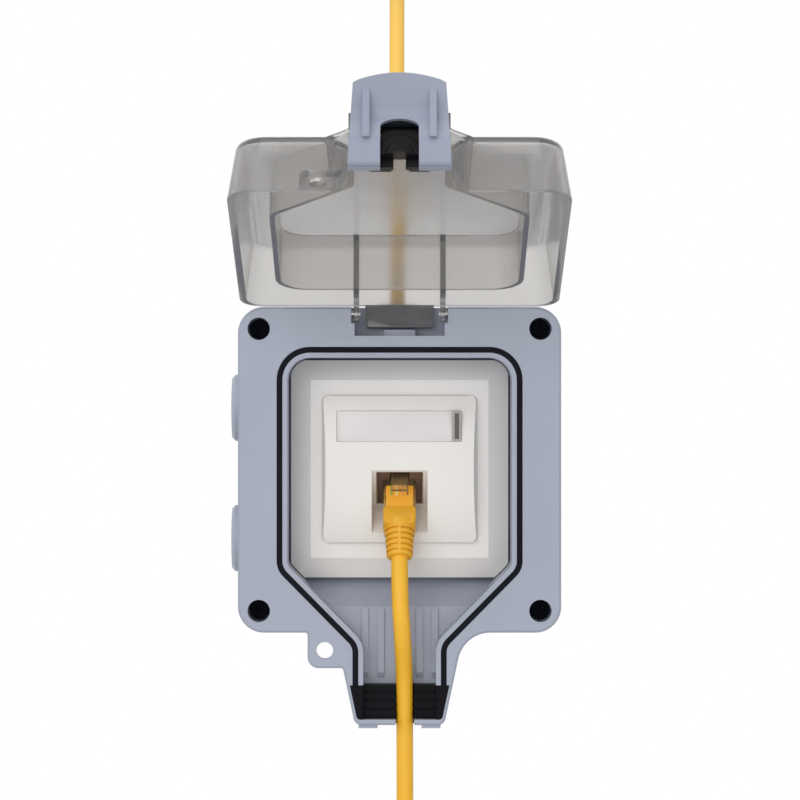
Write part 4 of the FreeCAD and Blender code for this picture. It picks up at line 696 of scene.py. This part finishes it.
def latchForm(setup):
    rows, halves = setup["rows"], setup["halves"]
    (depth0, z0), (depth1, z1) = rows[0], rows[1]
    length = math.hypot(depth0 - depth1, z0 - z1)
    bpy.ops.object.select_all(action="DESELECT")
    bpy.ops.mesh.primitive_plane_add(size=1, location=mm(0, -(depth0 + depth1) / 2, (z0 + z1) / 2),
                                     rotation=(math.atan2(z1 - z0, depth0 - depth1), 0, 0))
    piece = bpy.context.object
    piece.name = "lidLatch"
    piece.scale = (2 * halves[1] / 1000, length / 1000, 1)
    bpy.ops.object.transform_apply(location=True, rotation=True, scale=True)
    pick(piece, "EDGE", lambda m, d: abs(d.x) > aligned)
    bpy.ops.mesh.subdivide(number_cuts=setup["columns"] - 1)
    leave()
    for (depth, z), (lastDepth, lastZ), half, lastHalf in zip(rows[2:], rows[1:], halves[2:], halves[1:]):
        pick(piece, "EDGE", lambda m, d: abs(d.x) > aligned and abs(m.y + lastDepth) < nearby)
        bpy.ops.mesh.extrude_edges_move(TRANSFORM_OT_translate={"value": mm(0, lastDepth - depth, z - lastZ)})
        bpy.ops.transform.resize(value=(half / lastHalf, 1, 1), center_override=(0, 0, 0))
        leave()
    pick(piece, "VERT", lambda m, n: abs(m.y + depth0) < nearby)
    bpy.ops.transform.resize(value=(halves[0] / halves[1], 1, 1), center_override=(0, 0, 0))
    leave()
    slope = Vector((0, depth0 - depth1, z1 - z0)).normalized()
    for i in range(setup["columns"] + 1):
        x = halves[0] * (2 * i / setup["columns"] - 1)
        drop = setup["arch"] * (x / halves[0]) ** 2 + (setup["endDrop"] if i in (0, setup["columns"]) else 0)
        pick(piece, "VERT", lambda m, n: abs(m.y + depth0) < nearby and abs(m.x - x) < nearby)
        bpy.ops.transform.translate(value=slope * drop / 1000)
        leave()
    soften(piece, lambda m, d: abs(d.x) > aligned and abs(m.y + rows[1][0]) < nearby, setup["valley"], 5)
    soften(piece, lambda m, d: abs(d.x) > aligned and abs(m.y + rows[2][0]) < nearby, setup["ridge"], 4)
    if sum(face.normal.z for face in piece.data.polygons) > 0:
        pickAll(piece)
        bpy.ops.mesh.flip_normals()
        leave()
    finished(piece, "SOLIDIFY", thickness=setup["thick"] / 1000, offset=-1, use_even_offset=True)
    toeDepth, toeZ = rows[3]
    soften(piece, lambda m, d: abs(d.x) > aligned and abs(m.y + toeDepth) < setup["toeNear"]
           and abs(m.z - toeZ) < nearby, setup["toeRound"], 6)
    hook = boxPiece("latchHook", -halves[3], halves[3], toeDepth, toeDepth + setup["hookThick"],
                    toeZ + setup["toeRound"] + setup["hookGap"], setup["hookTip"])
    combine(piece, hook)
    ridgeDepth, ridgeZ = rows[2]
    startDepth, startZ = setup["ribStart"]
    for side in (-1, 1):
        x = side * setup["ribX"]
        inward, outward, sink = setup["ribSink"]
        web = boxPiece("latchRib", x - setup["ribWide"] / 2, x + setup["ribWide"] / 2, ridgeDepth + inward,
                       startDepth, startZ - outward, rows[1][1] + sink)
        pickAll(web)
        across = Vector((0, startZ - ridgeZ, ridgeDepth - startDepth)).normalized()
        bpy.ops.mesh.bisect(plane_co=mm(0, -startDepth, startZ), plane_no=across, use_fill=True,
                            clear_outer=True)
        leave()
        combine(piece, web)
    pivotDepth, pivotZ = setup["pivot"]
    for side in (-1, 1):
        x0, x1 = sorted((side * setup["knuckles"][0], side * setup["knuckles"][1]))
        foot = boxPiece("latchFoot", x0, x1, pivotDepth - setup["knuckleRadius"],
                        pivotDepth + setup["knuckleRadius"], rows[1][1] - setup["footSink"], pivotZ)
        combine(foot, rodPiece("latchKnuckle", setup["knuckleRadius"], "X", x0, x1, (pivotDepth, pivotZ)))
        combine(piece, foot)
    archStart = setup["slotTop"] - setup["slotFlat"] * setup["slotHalf"]
    slot = boxPiece("latchSlot", -setup["slotHalf"], setup["slotHalf"], toeDepth - 1, archStart,
                    *setup["slotReach"])
    arch = rodPiece("slotRound", setup["slotHalf"], "Z", *setup["slotReach"], (0, archStart), 40)
    pickAll(arch)
    bpy.ops.transform.resize(value=(1, setup["slotFlat"], 1), center_override=mm(0, -archStart, 0))
    leave()
    combine(slot, arch)
    combine(piece, slot, "DIFFERENCE")
    for side in (-1, 1):
        x0, x1 = sorted((side * setup["earX"][0], side * setup["earX"][1]))
        combine(piece, rodPiece("earRoom", setup["earRoom"], "X", x0, x1, (pivotDepth, pivotZ)), "DIFFERENCE")
    reach = setup["boreReach"]
    combine(piece, rodPiece("latchBore", setup["pinHole"], "X", -reach, reach, (pivotDepth, pivotZ), 20),
            "DIFFERENCE")
    return finished(piece, "BEVEL", width=setup["edge"] / 1000, segments=2, limit_method="ANGLE",
                    angle_limit=math.radians(setup["edgeAngle"]))


latchPiece = opened(latchForm(latch))
shown(latchPiece, latchPlastic, "latch", "latch_grey", "latch")
print("latch ready", len(latchPiece.data.polygons))

# Entry grommet in the lid's neck: a rubber flange with two rounded steps, a plug through the hole and two
# feet inside, cut off at the rim.
grommet = {
    "centre": 51.4, "flange": (13.6, 6.25, 0.8), "steps": [(8.0, 2.3), (5.0, 3.5)], "body": 8.9,
    "inside": 2.0, "notch": (2.0, 0.3), "feet": [(-9.9, -2.7), (3.2, 9.9)], "footDepth": (48.7, 54.4),
    "footEnd": -86.8, "stepSide": 6.1, "flangeEdge": 0.5, "stepEdge": 0.7, "lap": 0.5, "ring": 1.0,
    "ringSink": 0.6, "outerCut": (0.2, 1.4), "innerCut": (3.4, 1.3), "room": (20.0, 9.0, 12.0)}


def grommetForm(setup):
    outer, centre = lid["neckEnd"], setup["centre"]
    radius, half, proud = setup["flange"]
    wide, under, over = setup["room"]
    body = rodPiece("entryGrommet", radius, "Z", outer - proud, outer - 0.02, (0, centre), 64)
    soften(body, lambda m, d: abs(m.z - outer + proud) < nearby, setup["flangeEdge"], 3)
    combine(body, boxPiece("flangeSides", -half, half, centre - wide, centre + wide, outer - under,
                           outer + under), "INTERSECT")
    for size, reach in setup["steps"]:
        step = rodPiece("grommetStep", size, "Z", outer - reach, outer - setup["lap"], (0, centre), 64)
        soften(step, lambda m, d: abs(m.z - outer + reach) < nearby, setup["stepEdge"], 4)
        side = setup["stepSide"]
        if size > side + 0.1:
            combine(step, boxPiece("stepSides", -side, side, centre - under, centre + under, outer - under,
                                   outer), "INTERSECT")
        combine(body, step)
    combine(body, rodPiece("grommetBody", setup["body"], "Z", outer - setup["lap"],
                           outer + lid["wall"] + setup["ringSink"], (0, centre), 64))
    combine(body, rodPiece("grommetInner", setup["body"] + setup["ring"], "Z", outer + lid["wall"] + 0.02,
                           outer + lid["wall"] + setup["inside"], (0, centre), 64))
    near, far = setup["footDepth"]
    for x0, x1 in setup["feet"]:
        combine(body, boxPiece("grommetFoot", x0, x1, near, far, outer + lid["wall"] + 0.1, setup["footEnd"]))
    for name, depth, start, stop in (("grommetOuterCut", lid["rim"] - setup["outerCut"][0], outer - under,
                                      outer + setup["outerCut"][1]),
                                     ("grommetInnerCut", lid["rim"] - setup["innerCut"][0],
                                      outer + setup["innerCut"][1], outer + over)):
        combine(body, boxPiece(name, -wide, wide, centre - wide, depth, start, stop), "DIFFERENCE")
    half, above = setup["notch"]
    notch = boxPiece("grommetNotch", -half, half, centre - wide, lid["rim"] + above, outer - under,
                     outer + over)
    return combine(body, notch, "DIFFERENCE")


grommetPiece = opened(grommetForm(grommet))
shown(grommetPiece, grommetRubber, "lid", "grommet_rubber", "lid_grommet")
print("grommet ready", len(grommetPiece.data.polygons))

# Boot of the plug: a block as wide as the plug, and a ringed, tapering tail that leans towards the floor.
boot = {
    "origin": (0.0, -32.893, -7.207), "half": 6.1, "height": (-5.4, 3.0), "block": (11.7, 16.6),
    "waist": 19.6, "waistHalf": 5.5, "edge": 1.2, "tailStart": (0.0, -44.06, -20.08), "tail": 13.4,
    "radius": (5.65, 4.75), "lean": 25.0, "rows": 5, "pitch": 2.1, "firstRow": 2.9, "groove": 0.85,
    "deep": 0.75, "spine": 0.55, "turn": 45.0, "blockEdge": 0.5, "tailEdge": 0.9, "rise": 0.6, "sink": 0.8,
    "coreGap": 0.15, "ringRadius": 7.0, "ringReach": 9.0, "steep": 0.7}
plugCore = {
    "half": 5.1, "height": (-4.5, 1.9), "reach": (0.6, 12.7), "edge": 0.8, "wireX": (-3.0, -1.1, 1.0, 2.9),
    "wireRadius": 0.42, "wireReach": (0.8, 5.5), "wireUp": 1.75, "wireEdge": 0.12}


# A box given in the plug's own directions: across, up from its middle and out of the jack.
def plugBox(name, half, height, reach):
    _, y, z = boot["origin"]
    return boxPiece(name, -half, half, height[0] - y, height[1] - y, z - reach[1], z - reach[0])


def bootForm(setup):
    _, y, z = setup["origin"]
    block = plugBox("plugBoot", setup["half"], setup["height"], setup["block"])
    pick(block, "FACE", lambda m, n: n.z < -aligned)
    step = mm(0, setup["rise"], setup["block"][1] - setup["waist"])
    bpy.ops.mesh.extrude_region_move(TRANSFORM_OT_translate={"value": step})
    bpy.ops.transform.resize(value=(setup["waistHalf"] / setup["half"], 1, 1), center_override=(0, 0, 0))
    leave()
    soften(block, lambda m, d: abs(d.z) > setup["steep"] and abs(m.x) > setup["waistHalf"] - beside,
           setup["edge"], 5)
    soften(block, lambda m, d: m.z > z - setup["block"][0] - nearby, setup["blockEdge"], 3)
    placed(block, setup["turn"], setup["origin"])
    _, startY, startZ = setup["tailStart"]
    tail = rodPiece("bootTail", setup["radius"][0], "Z", startZ - setup["tail"], startZ + setup["sink"],
                    (0, -startY), 48)
    pick(tail, "FACE", lambda m, n: n.z < -aligned)
    bpy.ops.transform.resize(value=(setup["radius"][1] / setup["radius"][0],) * 2 + (1,),
                             center_override=mm(0, startY, startZ))
    leave()
    soften(tail, lambda m, d: m.z < startZ - setup["tail"] + nearby, setup["tailEdge"], 4)
    ring = rodPiece("bootRing", setup["ringRadius"], "Z", startZ - setup["firstRow"] - setup["groove"],
                    startZ - setup["firstRow"], (0, -startY), 48)
    reach = setup["ringReach"]
    combine(ring, rodPiece("ringCore", setup["radius"][0] - setup["deep"] - setup["coreGap"], "Z",
                           startZ - reach, startZ + reach, (0, -startY), 48), "DIFFERENCE")
    combine(ring, boxPiece("bootSpine", -setup["spine"], setup["spine"], -startY - reach, -startY + reach,
                           startZ - reach, startZ + reach), "DIFFERENCE")
    for row in range(setup["rows"]):
        only(ring)
        bpy.ops.object.duplicate()
        cutter = bpy.context.object
        share = (row * setup["pitch"]) / setup["tail"] * (1 - setup["radius"][1] / setup["radius"][0])
        pickAll(cutter)
        bpy.ops.transform.resize(value=(1 - share, 1 - share, 1), center_override=mm(0, startY, startZ))
        bpy.ops.transform.translate(value=mm(0, 0, -row * setup["pitch"]))
        leave()
        combine(tail, cutter, "DIFFERENCE")
    bpy.data.objects.remove(ring, do_unlink=True)
    placed(tail, setup["lean"], setup["tailStart"])
    return combine(block, tail)


bootPiece = bootForm(boot)
shown(bootPiece, bootPlastic, "base", "boot_orange", "plug_boot")
corePiece = plugBox("plugJacketEnd", plugCore["half"], plugCore["height"], plugCore["reach"])
soften(corePiece, lambda m, d: abs(d.z) > aligned, plugCore["edge"], 4)
placed(corePiece, boot["turn"], boot["origin"])
shown(corePiece, cordJacket, "base", "boot_orange")
firstWire = rodPiece("plugWire", plugCore["wireRadius"], "Z", boot["origin"][2] - plugCore["wireReach"][1],
                     boot["origin"][2] - plugCore["wireReach"][0],
                     (plugCore["wireX"][0], plugCore["wireUp"] - boot["origin"][1]), 16)
soften(firstWire, lambda m, d: abs(d.z) < nearby, plugCore["wireEdge"], 2)
placed(firstWire, boot["turn"], boot["origin"])
wirePieces = [firstWire]
for x in plugCore["wireX"][1:]:
    only(firstWire)
    bpy.ops.object.duplicate()
    wirePieces.append(bpy.context.object)
    pickAll(wirePieces[-1])
    bpy.ops.transform.translate(value=mm(x - plugCore["wireX"][0], 0, 0))
    leave()
for wirePiece, wireLook in zip(wirePieces, wirePlastics):
    shown(wirePiece, wireLook, "base", "boot_orange")
print("boot ready", len(bootPiece.data.polygons))

# Grip at the right end of the label window, with a slot for a fingernail whose dark lining is painted shade.
grip = {"box": (19.4, 22.8, 38.6, 39.3, 10.2, 21.5), "inset": 0.9, "deep": 0.45, "rim": 0.5}
gripPiece = boxPiece("labelGrip", *grip["box"])
pick(gripPiece, "FACE", lambda m, n: n.y < -aligned)
bpy.ops.mesh.inset(thickness=grip["inset"] / 1000, depth=0)
bpy.ops.mesh.extrude_region_move(TRANSFORM_OT_translate={"value": mm(0, grip["deep"], 0)})
leave()
shown(gripPiece, gripPlastic, "base", "white_plate")
# The second material, painted shade, goes on the faces inside the slot.
gripPiece.data.materials.append(slotShade)
left, right, near, far, low, high = grip["box"]
rim = grip["rim"]
for face in gripPiece.data.polygons:
    x, y, z = face.center * 1000
    if left + rim < x < right - rim and low + rim < z < high - rim and nearby - far < y < -near - nearby:
        face.material_index = 1

# Studio light on white: a broad soft light left of the camera, weaker ones on its right, above and below.
lights = [{"name": "keySoftbox", "place": (-650, -1600, 620), "size": 1300, "power": 11},
          {"name": "fillSoftbox", "place": (600, -1600, 100), "size": 1300, "power": 1.8},
          {"name": "topSoftbox", "place": (0, -500, 1500), "size": 900, "power": 4.2},
          {"name": "lowSoftbox", "place": (0, -1500, -600), "size": 900, "power": 2.5}]
target = mm(0, -40, 20)
for setup in lights:
    bpy.ops.object.light_add(type="AREA", location=mm(*setup["place"]))
    light = bpy.context.object
    light.name = setup["name"]
    light.data.size = setup["size"] / 1000
    light.data.energy = setup["power"]
    light.rotation_euler = (target - light.location).to_track_quat("-Z", "Y").to_euler()

# Even light from all round, and pure white where the camera, glass or a reflection looks past the box.
skyLevel = 0.62
world = bpy.data.worlds.new("whiteStudio")
bpy.context.scene.world = world
world.use_nodes = True
skyTree = world.node_tree
skyTree.nodes.clear()
paths = addNode(skyTree, "ShaderNodeLightPath")
direct = addNode(skyTree, "ShaderNodeMath", set_operation="MAXIMUM", in_0=paths.outputs["Is Camera Ray"],
                 in_1=paths.outputs["Is Transmission Ray"])
either = addNode(skyTree, "ShaderNodeMath", set_operation="MAXIMUM", in_0=direct.outputs["Value"],
                 in_1=paths.outputs["Is Glossy Ray"])
white = addNode(skyTree, "ShaderNodeBackground", Color=(1, 1, 1, 1), Strength=1.0)
soft = addNode(skyTree, "ShaderNodeBackground", Color=(0.99, 0.99, 1.0, 1), Strength=skyLevel)
mixed = addNode(skyTree, "ShaderNodeMixShader", Fac=either.outputs["Value"], in_1=soft.outputs["Background"],
                in_2=white.outputs["Background"])
skyOutput = skyTree.nodes.new("ShaderNodeOutputWorld")
skyTree.links.new(mixed.outputs["Shader"], skyOutput.inputs["Surface"])
print("light ready")
